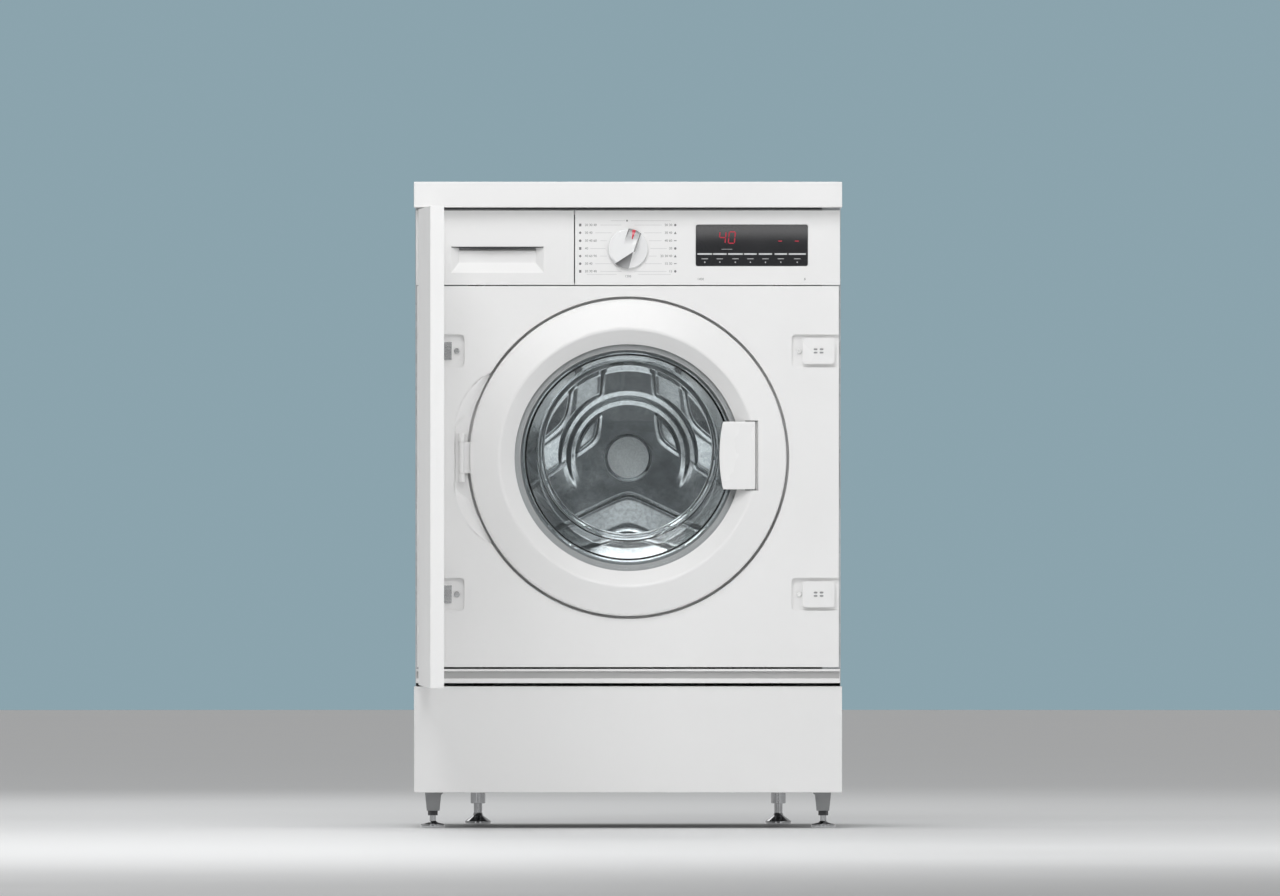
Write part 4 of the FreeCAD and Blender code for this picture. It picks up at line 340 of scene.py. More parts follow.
def knob_moulding(name):
    """White knob with a red pointer, a notch painted dark grey that grows darker towards the rim, and painted
    shade on its flank and on its scoop, which runs from dark at its upper edge to paler at the rim.
    """
    material, tree, shader, tone = toned(name, (0.86, 0.862, 0.866), 0.24, 0.05, 0.01, 0.04)
    place = split_place(tree)
    x = sums("MULTIPLY", place["X"], 1 / MM)
    z = sums("MULTIPLY_ADD", place["Z"], 1 / MM, -KNOB_Z)

    def slant(line):
        across, up, start = line
        return sums("MULTIPLY_ADD", x, across, sums("MULTIPLY_ADD", z, up, start))

    def all_of(*rises):
        """The product of masks that each rise from one value to another."""
        result = laid(*rises[0])
        for rise in rises[1:]:
            result = sums("MULTIPLY", result, laid(*rise))
        return result

    right, left, scoop = slant(KNOB_RIGHT), slant(KNOB_LEFT), slant(KNOB_SCOOP)
    scoop_mask = all_of((scoop, 0.0, 0.4), (slant(KNOB_SCOOP_SIDE), 0.0, 0.4))
    notch_mask = all_of((left, 0.0, 0.4), (right, 0.0, 0.4), (z, 5.0, 26.0))
    # Painted shade: a grey band on the steep flank along the blade's right side.
    flank_mask = all_of((right, 0.0, -0.3), (right, -2.4, -2.1), (z, -5.0, -4.5), (z, 23.5, 23.0))
    middle = sums("MULTIPLY_ADD", z, -0.2, sums("SUBTRACT", x, 3.4))
    half = sums("MULTIPLY_ADD", z, 0.15, -1.1)
    within_half = sums("SUBTRACT", half, sums("ABSOLUTE", middle))
    pointer_mask = all_of((within_half, 0.0, 0.3), (z, 12.8, 13.1), (z, 26.6, 26.3))
    # Painted shade on the scoop: dark at its upper edge, paler towards the rim.
    scoop_shade = blend(laid(scoop, 0.0, 15.0), (0.07, 0.07, 0.073, 1), (0.46, 0.462, 0.466, 1))
    colour = tone["Colour"]
    for mask, paint in ((notch_mask, (0.2, 0.2, 0.205, 1)), (pointer_mask, (0.55, 0.03, 0.06, 1)),
                        (flank_mask, (0.26, 0.262, 0.266, 1)), (scoop_mask, scoop_shade)):
        colour = blend(mask, colour, paint)
    skin = use(tree, MOULDED_SKIN, Grain_Size=0.002)["Height"]
    feed(shader, {"Base Color": colour, "Normal": bump(skin, 0.00001), "Coat Weight": 0.4,
                  "Coat Roughness": 0.12})
    return material


def cast_stone(name, colour):
    """Cast concrete with pores, painted darker in its pits as painted shade."""
    material, tree, shader, tone = toned(name, colour, 0.85, 0.03, 0.15, 0.05)
    pits = use(tree, RUB_MARKS, Rub_Size=0.004, Amount=0.6)
    # Painted shade: the pits darken the colour, and the same map gives the bump.
    depth = sums("MULTIPLY_ADD", pits["Mask"], -0.35, 1.0)
    feed(shader, {"Base Color": tinted(tone["Colour"], depth), "Normal": bump(depth, 0.0006)})
    return material


# Name, colour, roughness, cloud size, depth of tone, depth of gloss, grain size, skin depth and coat
SMOOTH_FINISHES = {
    "slab": ("white_worktop_laminate", (0.865, 0.862, 0.858), 0.42, 0.2, 0.012, 0.05, 0.0009, 0.00003),
    "plinth": ("white_plinth_laminate", (0.845, 0.842, 0.838), 0.45, 0.2, 0.012, 0.05, 0.0009, 0.00003),
    "door_board": ("white_door_laminate", (0.885, 0.882, 0.878), 0.4, 0.2, 0.012, 0.05, 0.0009, 0.00003),
    "enamel": ("white_sheet_enamel", (0.875, 0.872, 0.868), 0.36, 0.14, 0.012, 0.04, 0.0016, 0.000025, 0.25),
    "fascia": ("white_satin_moulding", (0.86, 0.857, 0.853), 0.4, 0.16, 0.01, 0.04, 0.0006, 0.000012),
    "drawer": ("white_drawer_moulding", (0.86, 0.857, 0.853), 0.38, 0.14, 0.01, 0.04, 0.0006, 0.000012),
    "ring": ("white_gloss_ring", (0.86, 0.857, 0.853), 0.36, 0.15, 0.01, 0.04, 0.002, 0.00001, 0.1),
    "handle": ("white_gloss_handle", (0.89, 0.887, 0.883), 0.26, 0.1, 0.01, 0.04, 0.002, 0.00001, 0.3),
    # The next finish is also painted shade, for the dimples of the hinge cover caps.
    "grey_moulding": ("grey_moulding", (0.33, 0.335, 0.34), 0.5, 0.08, 0.03, 0.06, 0.0008, 0.00003),
    # The next finish is also painted shade, at the back of the drawer's grip slot.
    "frame_grey_and_slot_shade": ("pale_grey_frame", (0.46, 0.463, 0.467), 0.45, 0.1, 0.02, 0.05, 0.0008, 0.00002),
    "tub": ("filled_tub_plastic", (0.6, 0.61, 0.62), 0.55, 0.06, 0.04, 0.06, 0.0012, 0.00005),
    "tray": ("pale_tray_plastic", (0.72, 0.75, 0.77), 0.35, 0.06, 0.02, 0.05, 0.0008, 0.00002),
    "black_plastic": ("black_moulding", (0.03, 0.03, 0.033), 0.45, 0.05, 0.12, 0.08, 0.0008, 0.00004),
    # The next finish is painted shade, near black, for the drum's holes and for the strip under the drawer's
    # grip edge.
    "painted_gap_shade": ("dark_recess_lining", (0.035, 0.036, 0.038), 0.7, 0.05, 0.1, 0.05, 0.001, 0.00003),
    "gasket": ("grey_gasket_rubber", (0.2, 0.205, 0.21), 0.55, 0.04, 0.08, 0.1, 0.0007, 0.00005),
    "black_rubber": ("black_hose_rubber", (0.025, 0.025, 0.026), 0.6, 0.03, 0.15, 0.1, 0.0007, 0.00006),
    "print": ("grey_print_ink", (0.2, 0.2, 0.205), 0.55, 0.01, 0.08, 0.05, 0.0004, 0.000004),
    "pale_print": ("pale_print_ink", (0.52, 0.52, 0.525), 0.55, 0.01, 0.06, 0.05, 0.0004, 0.000004),
    "key_bar": ("pale_key_bars", (0.62, 0.63, 0.64), 0.4, 0.01, 0.05, 0.05, 0.0004, 0.000004),
    "lifter": ("pale_lifter_plastic", (0.78, 0.79, 0.8), 0.4, 0.08, 0.02, 0.05, 0.001, 0.00002),
    "bracket": ("grey_foot_bracket", (0.3, 0.305, 0.31), 0.42, 0.03, 0.06, 0.08, 0.0006, 0.00004),
    # The next finish is painted shade, for the recessed web of the lower rail.
    "rail_web_shade": ("grey_rail_moulding", (0.48, 0.478, 0.475), 0.4, 0.1, 0.02, 0.05, 0.0008, 0.00002),
}

# Name, colour, roughness, stretch of the lines, their depth and the amount of rubs
METAL_FINISHES = {
    "drum_shell": ("polished_drum_steel", (0.88, 0.89, 0.9), 0.6, (300, 14, 300)),
    "drum_back": ("pressed_drum_back_steel", (0.6, 0.62, 0.635), 0.15, (200, 200, 200), 0.000002),
    "hub_disc": ("satin_hub_steel", (0.94, 0.955, 0.96), 0.36, (500, 500, 500)),
    "chrome": ("plated_foot_steel", (0.31, 0.314, 0.32), 0.14, (900, 900, 60), 0.000004, 0.6),
    "screw": ("plated_screw_steel", (0.5, 0.505, 0.51), 0.3, (900, 900, 900), 0.000004, 0.5),
    "bright_hinge": ("nickel_hinge_steel", (0.55, 0.555, 0.56), 0.26, (60, 900, 900), 0.000004, 0.5),
    "casting": ("cast_alloy", (0.5, 0.51, 0.52), 0.5, (400, 400, 400), 0.00006),
    "bearing": ("ground_bearing_steel", (0.62, 0.62, 0.63), 0.2, (900, 30, 900)),
}

FINISH = {
    "knob": knob_moulding("white_gloss_knob"),
    "display": bowed_window("gloss_black_window", *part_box("display_window")),
    "zinc": zinc_sheet("galvanised_sheet", (0.5, 0.515, 0.53), 0.36),
    "dark_zinc": zinc_sheet("galvanised_frame", (0.36, 0.37, 0.38), 0.42),
    "glass": glass_finish("pressed_clear_glass"),
    "red_segment": glowing_finish("red_display_segments", (0.45, 0.02, 0.045), 0.16),
    "concrete": cast_stone("cast_counterweight", (0.44, 0.43, 0.41)),
}
FINISH.update({word: smooth_finish(*values) for word, values in SMOOTH_FINISHES.items()})
FINISH.update({word: drawn_metal(*values) for word, values in METAL_FINISHES.items()})


# Building helpers

def paint(mesh, finish):
    """Gives a mesh one finish all over."""
    mesh.materials.clear()
    mesh.materials.append(FINISH[finish])


def settle(mesh, finish, body, stands_for=(), stretch=None):
    """A finished piece with its mesh's name: on its body, or, when a stretch is given, on no body with its
    place baked into its mesh.
    """
    piece = bpy.data.objects.new(mesh.name, mesh)
    scene.collection.objects.link(piece)
    paint(mesh, finish)
    if stands_for:
        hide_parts(*stands_for)
    if stretch:
        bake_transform(piece)
    else:
        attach(piece, body)


def shade(mesh, angle=32):
    """Smooth shading, kept sharp where faces meet at more than the angle."""
    mesh.polygons.foreach_set("use_smooth", [True] * len(mesh.polygons))
    mesh.set_sharp_from_angle(angle=math.radians(angle))


def baked(name, mesh, build):
    """A mesh as it is after the modifiers that build() adds to a scratch object; the start mesh goes."""
    scratch = bpy.data.objects.new(name + "_scratch", mesh)
    scene.collection.objects.link(scratch)
    build(scratch)
    graph = bpy.context.evaluated_depsgraph_get()
    result = bpy.data.meshes.new_from_object(scratch.evaluated_get(graph))
    bpy.data.objects.remove(scratch)
    bpy.data.meshes.remove(mesh)
    result.name = name
    return result


def soften(mesh, width, segments=2, angle=30):
    """A bevel on every hard edge, with even shading on the flats."""
    def build(piece):
        edge = piece.modifiers.new("soft_edge", "BEVEL")
        edge.width = width * MM
        edge.segments = segments
        edge.limit_method = "ANGLE"
        edge.angle_limit = math.radians(angle)
        even = piece.modifiers.new("even_shading", "WEIGHTED_NORMAL")
        even.keep_sharp = True
    shade(mesh, 60)
    return baked(mesh.name, mesh, build)


def joined_copy(node):
    """A merged copy of a node's mesh with its flat areas made whole."""
    shape = bmesh.new()
    shape.from_mesh(nodes[node].data)
    bmesh.ops.remove_doubles(shape, verts=shape.verts, dist=0.00002)
    bmesh.ops.dissolve_limit(shape, angle_limit=math.radians(0.5), verts=shape.verts, edges=shape.edges)
    mesh = bpy.data.meshes.new(node + "_skin")
    shape.to_mesh(mesh)
    shape.free()
    return mesh


def dressed(node, finish, slot, width, segments=2, angle=30):
    """A node with softened edges and its finish."""
    mesh = soften(joined_copy(node), width, segments, angle)
    settle(mesh, finish, nodes[node]["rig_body"], [node])


def mesh_of(name, points, faces, angle=32):
    """A mesh from points, merged and facing outwards."""
    mesh = bpy.data.meshes.new(name)
    mesh.from_pydata([Vector(p) * MM for p in points], [], faces)
    shape = bmesh.new()
    shape.from_mesh(mesh)
    bmesh.ops.remove_doubles(shape, verts=shape.verts, dist=0.000005)
    bmesh.ops.recalc_face_normals(shape, faces=shape.faces)
    shape.to_mesh(mesh)
    shape.free()
    shade(mesh, angle)
    return mesh


def circle(radius, steps, x=0.0, z=0.0):
    """Points round a centre, as (across, up)."""
    turns = [TURN * i / steps for i in range(steps)]
    return [(x + radius * math.cos(turn), z + radius * math.sin(turn)) for turn in turns]


def oblong(left, right, bottom, top):
    """The four corners of an upright rectangle."""
    return [(left, bottom), (right, bottom), (right, top), (left, top)]


def band(first, second, count):
    """Faces between two closed rows of points that start at these numbers."""
    faces = []
    for k in range(count):
        n = (k + 1) % count
        faces.append((first + k, first + n, second + n, second + k))
    return faces


def disc_faces(rings, steps):
    """Faces of a turned solid: a fan round its first point, bands between rings and a flat end."""
    faces = [(0, 1 + i, 1 + (i + 1) % steps) for i in range(steps)]
    last = 1 + (rings - 1) * steps
    for first in range(1, last, steps):
        faces += band(first, first + steps, steps)
    return faces + [tuple(range(last, last + steps))]


def prism(name, outline, axis, ends):
    """A solid of one outline between two ends along axis 1 or 2; its points hold the other two places."""
    points, count = [], len(outline)
    for end in ends:
        points += [(a, end, b) if axis == 1 else (a, b, end) for a, b in outline]
    faces = [tuple(range(count)), tuple(range(2 * count - 1, count - 1, -1))]
    return mesh_of(name, points, faces + band(0, count, count))


def rounded(outline, steps=5):
    """A closed outline of (across, along, radius) corners with each corner turned to an arc."""
    count = len(outline)
    longest, shortest = 0.48, 1e-6
    line = []
    for i, (a, b, radius) in enumerate(outline):
        here = Vector((a, b))
        before = Vector(outline[i - 1][:2]) - here
        after = Vector(outline[(i + 1) % count][:2]) - here
        if radius <= 0 or min(before.length, after.length) < shortest:
            line.append((a, b))
            continue
        before_way, after_way = before.normalized(), after.normalized()
        half = before_way.angle(after_way) / 2
        reach = min(radius / max(math.tan(half), 1e-4), before.length * longest, after.length * longest)
        start, end = here + before_way * reach, here + after_way * reach
        for k in range(steps + 1):
            t = k / steps
            bend = start * (1 - t) ** 2 + here * 2 * t * (1 - t) + end * t ** 2
            line.append((bend.x, bend.y))
    return line


def lathe(name, outline, steps=192, rise=None, angle=32):
    """A closed outline of (radius, y) turned about the porthole axis; rise lifts it by y."""
    rings = [circle(radius, steps, z=AXIS_Z + (rise(y) if rise else 0.0)) for radius, y in outline]
    points, faces, count = [], [], len(outline)
    for i in range(steps):
        points += [(ring[i][0], y, ring[i][1]) for ring, (_, y) in zip(rings, outline)]
        faces += band(i * count, (i + 1) % steps * count, count)
    return mesh_of(name, points, faces, angle)


def held(value, top=1.0):
    """A value kept between zero and a top."""
    return min(max(value, 0.0), top)


def smooth_step(value):
    """An even rise from 0 to 1."""
    t = held(value)
    return t * t * (3 - 2 * t)


# Drum seen through the porthole

BACK_FACE, BACK_END, BACK_RADIUS = 416.0, 427.6, 238.2
HUB_RADIUS, HUB_EDGE, HUB_RISE = 31.0, 3.0, 1.4
DISC_RADIUS, DISC_FRONT, DISC_BACK = 29.5, -1.8, 0.1
PETAL_FIRST, PETAL_EACH = math.radians(30), math.radians(120)
SPOKE_HALF, PETAL_ALONG, PETAL_ACROSS = 40.0, 0.9, 0.436
OUTER_TIP, INNER_TIP, INNER_INSET = 10.0, 20.0, 42.0
PETAL_SLOPE, SLOPE_START, SLOPE_RUN, SLOPE_LEAST = 0.13, 10.0, 30.0, 0.6
PETAL_OUTER, PETAL_FADE = 182.0, 10.0
STEP_INNER, STEP_LIP, STEP_FACE, STEP_FADE = 76.0, 7.0, 4.5, 6.0
STEP_SINK, STEP_EASE = 6.6, 0.235
STEP_NONE, STEP_FULL, DISH_START = -38.0, 14.0, 35.0
LINE_WIDTH, LINE_EASE, EDGE_WIDTH, EDGE_RISE = 5.0, 0.18, 1.4, 1.3
RIM_START, RIM_END, RIM_SLOPE = 124.0, 166.0, 0.3


def step_line(value):
    """The rise over the round step: a short easy slope, a steep face and an easy slope again."""
    start = held(value, STEP_LIP) * STEP_EASE
    middle = held(value - STEP_LIP, STEP_FACE) / STEP_FACE * (STEP_SINK - 2 * STEP_LIP * STEP_EASE)
    return start + middle + held(value - STEP_LIP - STEP_FACE, STEP_LIP) * STEP_EASE


def petal_line(value):
    """The rise over a petal's outline: an easy slope and a small sharp edge."""
    return held(value, LINE_WIDTH) * LINE_EASE + held((value - LINE_WIDTH) / EDGE_WIDTH) * EDGE_RISE


def step_share(turn):
    """How much of the round step is pressed in: all of it above the hub, none of it below."""
    rise = math.degrees(math.asin(math.sin(turn)))
    return smooth_step((rise - STEP_NONE) / (STEP_FULL - STEP_NONE))


def back_height(radius, turn):
    """How far the pressed back stands towards the opening."""
    petal_turn = (turn - PETAL_FIRST + PETAL_EACH / 2) % PETAL_EACH - PETAL_EACH / 2
    along, across = radius * math.cos(petal_turn), radius * math.sin(petal_turn)
    inside = PETAL_ALONG * along - PETAL_ACROSS * math.hypot(across, OUTER_TIP) - SPOKE_HALF
    deeper = PETAL_ALONG * along - PETAL_ACROSS * math.hypot(across, INNER_TIP) - SPOKE_HALF
    share = step_share(turn)
    height = petal_line(inside) + petal_line(deeper - INNER_INSET)
    slope = PETAL_SLOPE * (SLOPE_LEAST + (1 - SLOPE_LEAST) * share)
    height += slope * held(inside - SLOPE_START, SLOPE_RUN)
    height *= 1 - smooth_step((radius - PETAL_OUTER + PETAL_FADE) / PETAL_FADE)
    step_outer = STEP_INNER + 2 * STEP_LIP + STEP_FACE
    on_step = smooth_step((radius - STEP_INNER + STEP_FADE) / STEP_FADE)
    on_step *= 1 - smooth_step((radius - step_outer) / STEP_FADE)
    height *= 1 - share * on_step
    dish = STEP_SINK * held((radius - DISH_START) / (RIM_START - DISH_START))
    height += share * step_line(radius - STEP_INNER) + (1 - share) * dish - STEP_SINK
    height += RIM_SLOPE * held(radius - RIM_START, RIM_END - RIM_START)
    if radius < HUB_RADIUS + HUB_EDGE:
        height += HUB_RISE * (1 - smooth_step((radius - HUB_RADIUS + 0.5) / HUB_EDGE))
    return height


def pressed_drum_back():
    """The drum's back with hub, round step, three flat spokes and three pressed petals."""
    seen, seen_rings, rings, steps = 140.0, 124, 152, 540
    points = [(0, BACK_FACE - back_height(0, 0), AXIS_Z)]
    for k in range(1, rings + 1):
        radius = seen * k / seen_rings
        if k > seen_rings:
            radius = seen + (BACK_RADIUS - seen) * (k - seen_rings) / (rings - seen_rings)
        for i, (x, z) in enumerate(circle(radius, steps, z=AXIS_Z)):
            points.append((x, BACK_FACE - back_height(radius, TURN * i / steps), z))
    points += [(x, BACK_END, z) for x, z in circle(BACK_RADIUS, steps, z=AXIS_Z)]
    mesh = mesh_of("pressed_drum_back", points, disc_faces(rings + 1, steps), 50)
    settle(mesh, "drum_back", "drum", ["drum_back"])
    front, back = [BACK_FACE + STEP_SINK + offset for offset in (DISC_FRONT, DISC_BACK)]
    disc = rounded([(0, front, 0), (DISC_RADIUS, front, 0.4), (DISC_RADIUS, back, 0), (0, back, 0)])
    settle(lathe("drum_hub_disc", disc, 96), "hub_disc", "drum")


def rolled_drum_shell():
    """The drum wall with its sloping front and rolled mouth."""
    outline = rounded([
        (165.0, 124.0, 0.4), (165.0, 114.4, 2.5), (168.5, 113.2, 2.0), (236.0, 122.6, 6.0),
        (240.0, 127.0, 4.0), (240.0, 428.0, 0.3), (238.8, 428.0, 0.3), (238.8, 128.0, 4.0),
        (235.0, 124.0, 5.0), (169.0, 114.6, 1.5), (166.4, 115.6, 1.5), (166.4, 124.0, 0.4)], 4)
    mesh = lathe("rolled_drum_shell", outline, 240)
    settle(mesh, "drum_shell", "drum", ["drum_shell"])


# Geometry node trees for what repeats

def geometry_tree(name, inputs):
    """A geometry tree with named inputs, and its own sockets."""
    start = [("Geometry", "Geometry", None)]
    return node_group("Geometry", name, start + inputs + [("Finish", "Material", None)],
                      [("Geometry", "Geometry")])


def painted(tree, geometry, given, made):
    """Ends a tree: makes its instances real and gives them their finish."""
    real = add(tree, "GeometryNodeRealizeInstances", {"Geometry": geometry})["Geometry"]
    sources = {"Geometry": real, "Material": given["Finish"]}
    feed(made, {"Geometry": add(tree, "GeometryNodeSetMaterial", sources)["Geometry"]})
    return tree


def grown(name, mesh, tree, values):
    """The plain mesh that a geometry tree makes from a start mesh."""
    def build(piece):
        tool = piece.modifiers.new("grow", "NODES")
        tool.node_group = tree
        for socket in tree.interface.items_tree:
            if socket.in_out == "INPUT" and socket.name in values:
                tool[socket.identifier] = values[socket.name]
    return baked(name, mesh, build)


def screw_tree():
    """Screw heads on points, each turned by chance about its own axis."""
    tree, given, made = geometry_tree(
        "screw_heads", [("Head", "Object", None), ("Head Scale", "Float", 1.0), ("Seed", "Int", 7)])
    head = add(tree, "GeometryNodeObjectInfo", {"Object": given["Head"]})["Geometry"]
    limits = {"Min": 0.0, "Max": math.pi, "Seed": given["Seed"]}
    chance = add(tree, "FunctionNodeRandomValue", limits, data_type="FLOAT")["Value"]
    turn = add(tree, "ShaderNodeCombineXYZ", {"Y": chance})["Vector"]
    heads = add(tree, "GeometryNodeInstanceOnPoints", {
        "Points": given["Geometry"], "Instance": head, "Rotation": turn, "Scale": given["Head Scale"]})
    return painted(tree, heads["Instances"], given, made)


def screw_head():
    """A low domed head of 10 mm with a cross recess, facing -Y, as a template object."""
    arm, reach, top, deep, ring, corners = 0.75, 2.6, -2.1, 1.2, 20, 12
    cross = [(arm, arm), (arm, reach), (-arm, reach), (-arm, arm), (-reach, arm), (-reach, -arm),
             (-arm, -arm), (-arm, -reach), (arm, -reach), (arm, -arm), (reach, -arm), (reach, arm)]
    points = [(x, top + 0.03 * (x * x + z * z), z) for x, z in cross]
    points += [(x * 0.8, top + deep, z * 0.8) for x, z in cross]
    faces = band(0, corners, corners) + [tuple(range(corners, 2 * corners))]
    start = len(points)
    for radius, y in ((3.6, -1.75), (4.7, -0.9), (5.0, 0.0)):
        points += [(x, y, z) for x, z in circle(radius, ring)]
    faces += band(start, start + ring, ring) + band(start + ring, start + 2 * ring, ring)
    shape = bmesh.new()
    made = [shape.verts.new(Vector(p) * MM) for p in points]
    for face in faces:
        shape.faces.new([made[i] for i in face])
    inner = [edge for edge in shape.edges
             if edge.is_boundary and all(abs(v.co.y + 0.00175) < 0.0005 for v in edge.verts)]
    bmesh.ops.bridge_loops(shape, edges=inner)
    bmesh.ops.recalc_face_normals(shape, faces=shape.faces)
    mesh = bpy.data.meshes.new("screw_head_shape")
    shape.to_mesh(mesh)
    shape.free()
    shade(mesh, 28)
    template = bpy.data.objects.new("screw_head_shape", mesh)
    scene.collection.objects.link(template)
    return template


def screws(tree, head, name, spots, size, finish, backwards=False, stands_for=()):
    """One piece of screw heads at spots on the cabinet."""
    mesh = bpy.data.meshes.new(name + "_spots")
    mesh.from_pydata([Vector(p) * MM for p in spots], [], [])
    values = {"Head": head, "Head Scale": size / 10, "Seed": 7, "Finish": FINISH[finish]}
    result = grown(name, mesh, tree, values)
    if backwards:
        middle = Matrix.Translation((0, spots[0][1] * MM, 0))
        result.transform(middle @ Matrix.Rotation(math.pi, 4, "Z") @ middle.inverted())
    settle(result, finish, "cabinet", stands_for)


def perforation_tree():
    """Small dished holes in rows round the drum wall, every second row set over by half."""
    tree, given, made = geometry_tree("drum_perforations", [
        ("Radius", "Float", 0.2386), ("Start", "Float", 0.15), ("Length", "Float", 0.25), ("Rows", "Int", 12),
        ("Around", "Int", 60), ("Hole", "Object", None)])
    grid = add(tree, "GeometryNodeMeshGrid", {
        "Size X": 1.0, "Size Y": 1.0, "Vertices X": given["Around"], "Vertices Y": given["Rows"]})
    split = add(tree, "ShaderNodeSeparateXYZ", {"Vector": add(tree, "GeometryNodeInputPosition")["Position"]})
    across, up = [sums("ADD", split[word], 0.5) for word in "XY"]
    number = sums("MULTIPLY", across, sums("SUBTRACT", given["Around"], 1.0))
    row = sums("MULTIPLY", up, sums("SUBTRACT", given["Rows"], 1.0))
    shifted = sums("MULTIPLY_ADD", sums("MODULO", sums("ROUND", row), 2.0), 0.5, number)
    turn = sums("MULTIPLY", sums("DIVIDE", shifted, given["Around"]), TURN)
    place = add(tree, "ShaderNodeCombineXYZ", {
        "X": sums("MULTIPLY", sums("COSINE", turn), given["Radius"]),
        "Y": sums("MULTIPLY_ADD", up, given["Length"], given["Start"]),
        "Z": sums("MULTIPLY", sums("SINE", turn), given["Radius"])})
    moved = add(tree, "GeometryNodeSetPosition", {"Geometry": grid["Mesh"], "Position": place["Vector"]})
    hole = add(tree, "GeometryNodeObjectInfo", {"Object": given["Hole"]})
    face = add(tree, "ShaderNodeCombineXYZ", {"Y": sums("MULTIPLY", turn, -1.0)})
    holes = add(tree, "GeometryNodeInstanceOnPoints", {
        "Points": moved["Geometry"], "Instance": hole["Geometry"], "Rotation": face["Vector"]})
    lifted = add(tree, "GeometryNodeTransform", {
        "Geometry": holes["Instances"], "Translation": (0, 0, AXIS_Z * MM)})
    return painted(tree, lifted["Geometry"], given, made)


def drum_perforations():
    """Holes with a pressed rim on the drum wall, painted near black: painted shade inside the holes."""
    points, sides = [], 8
    for radius, inward in ((2.9, 0.0), (2.2, 0.45), (1.6, -0.1)):
        points += [(-inward, y, z) for y, z in circle(radius, sides)]
    faces = band(0, sides, sides) + band(sides, 2 * sides, sides) + [tuple(range(2 * sides, 3 * sides))]
    hole = bpy.data.objects.new("drum_hole_shape", mesh_of("drum_hole_shape", points, faces))
    scene.collection.objects.link(hole)
    start = bpy.data.meshes.new("drum_hole_start")
    values = {"Radius": 0.23855, "Start": 0.15, "Length": 0.255, "Rows": 13, "Around": 60, "Hole": hole,
              "Finish": FINISH["painted_gap_shade"]}
    mesh = grown("drum_perforations", start, perforation_tree(), values)
    bpy.data.objects.remove(hole)
    settle(mesh, "painted_gap_shade", "drum")


# Porthole

def glass_rise(y):
    """The bowl's end sits a little above the centre of its mouth."""
    rise, start, run = 11.0, 6.0, 84.0
    return rise * smooth_step((y - start) / run)


def glass_bowl():
    """The pressed glass bowl with its flange and rounded end."""
    outline = rounded([
        (0, 108.5, 0), (119.5, 107.4, 4), (124.0, 101.0, 4), (127, 84.0, 10), (142.6, 20.0, 14),
        (153.0, 3.0, 3), (155.5, 1.0, 0.6), (163.9, 1.0, 0.6), (163.9, 4.0, 0.6), (157.4, 5.0, 2),
        (147.0, 21.0, 14), (131.8, 85.0, 10), (128.5, 103.0, 5), (121.5, 110.4, 5), (0, 111.0, 0)], 6)
    mesh = lathe("glass_bowl", outline, 220, glass_rise, 40)
    settle(mesh, "glass", "porthole", ["door_glass"])


def bellows_gasket():
    """The folded rubber bellows with rolled lips between panel and tub."""
    outline = rounded([
        (149.2, 19.4, 1.4), (157.0, 14.8, 4), (166.2, 13.2, 1.2), (168.4, 13.4, 1.0), (168.4, 27.0, 1.2),
        (181.0, 28.4, 3.0), (188.6, 31.0, 3.5), (188.8, 36.6, 3.5), (180.0, 39.2, 2.5), (167.4, 41.0, 2.2),
        (167.2, 45.0, 2.0), (167.2, 75.8, 0.8), (164.5, 75.8, 0.8), (164.5, 63.0, 1.0), (161.6, 60.0, 1.4),
        (161.6, 36.2, 2.0), (172.0, 35.2, 2.0), (183.0, 34.2, 1.6), (183.4, 33.0, 1.4), (172.0, 31.4, 2.0),
        (165.6, 29.4, 2.0), (165.6, 18.6, 2.0), (158.0, 19.6, 2.0), (150.6, 22.2, 0.8)], 5)
    fold_start, fold_end = 28.0, 44.0
    stretch = [(0, y * MM, AXIS_Z * MM) for y in (fold_start, fold_end)]
    mesh = lathe("bellows_gasket", outline, 180)
    settle(mesh, "gasket", "cabinet", ["door_gasket"], stretch)


# Controls on the fascia

def flat_face(name, outlines, finish, base=0.0):
    """Flat marks printed on a face of the cabinet that looks to the front at a base y."""
    points, faces = [], []
    for outline in outlines:
        faces.append(tuple(range(len(points), len(points) + len(outline))))
        points += [Vector((x, base - PRINT_LIFT, z)) * MM for x, z in outline]
    mesh = bpy.data.meshes.new(name)
    mesh.from_pydata(points, [], faces)
    shape = bmesh.new()
    shape.from_mesh(mesh)
    for face in shape.faces:
        face.normal_update()
        if face.normal.y > 0:
            face.normal_flip()
    shape.to_mesh(mesh)
    shape.free()
    settle(mesh, finish, "cabinet")


def strip(left, right, z, width):
    """A thin level mark."""
    return oblong(left, right, z - width / 2, z + width / 2)


def number_mesh(name, words, size):
    """Plain numbers printed on the fascia as one flat mesh: a list of (text, x, z, alignment)."""
    shape = bmesh.new()
    for text, x, z, side in words:
        curve = bpy.data.curves.new("number", "FONT")
        curve.body = text
        curve.size = size * MM
        curve.align_x = side
        curve.align_y = "CENTER"
        curve.resolution_u = 3
        word = bpy.data.objects.new("number", curve)
        scene.collection.objects.link(word)
        graph = bpy.context.evaluated_depsgraph_get()
        flat = bpy.data.meshes.new_from_object(word.evaluated_get(graph))
        place = Matrix.Translation((x * MM, -PRINT_LIFT * MM, z * MM))
        flat.transform(place @ Matrix.Rotation(math.pi / 2, 4, "X"))
        shape.from_mesh(flat)
        bpy.data.objects.remove(word)
        bpy.data.meshes.remove(flat)
        bpy.data.curves.remove(curve)
    mesh = bpy.data.meshes.new(name)
    shape.to_mesh(mesh)
    shape.free()
    settle(mesh, "print", "cabinet")


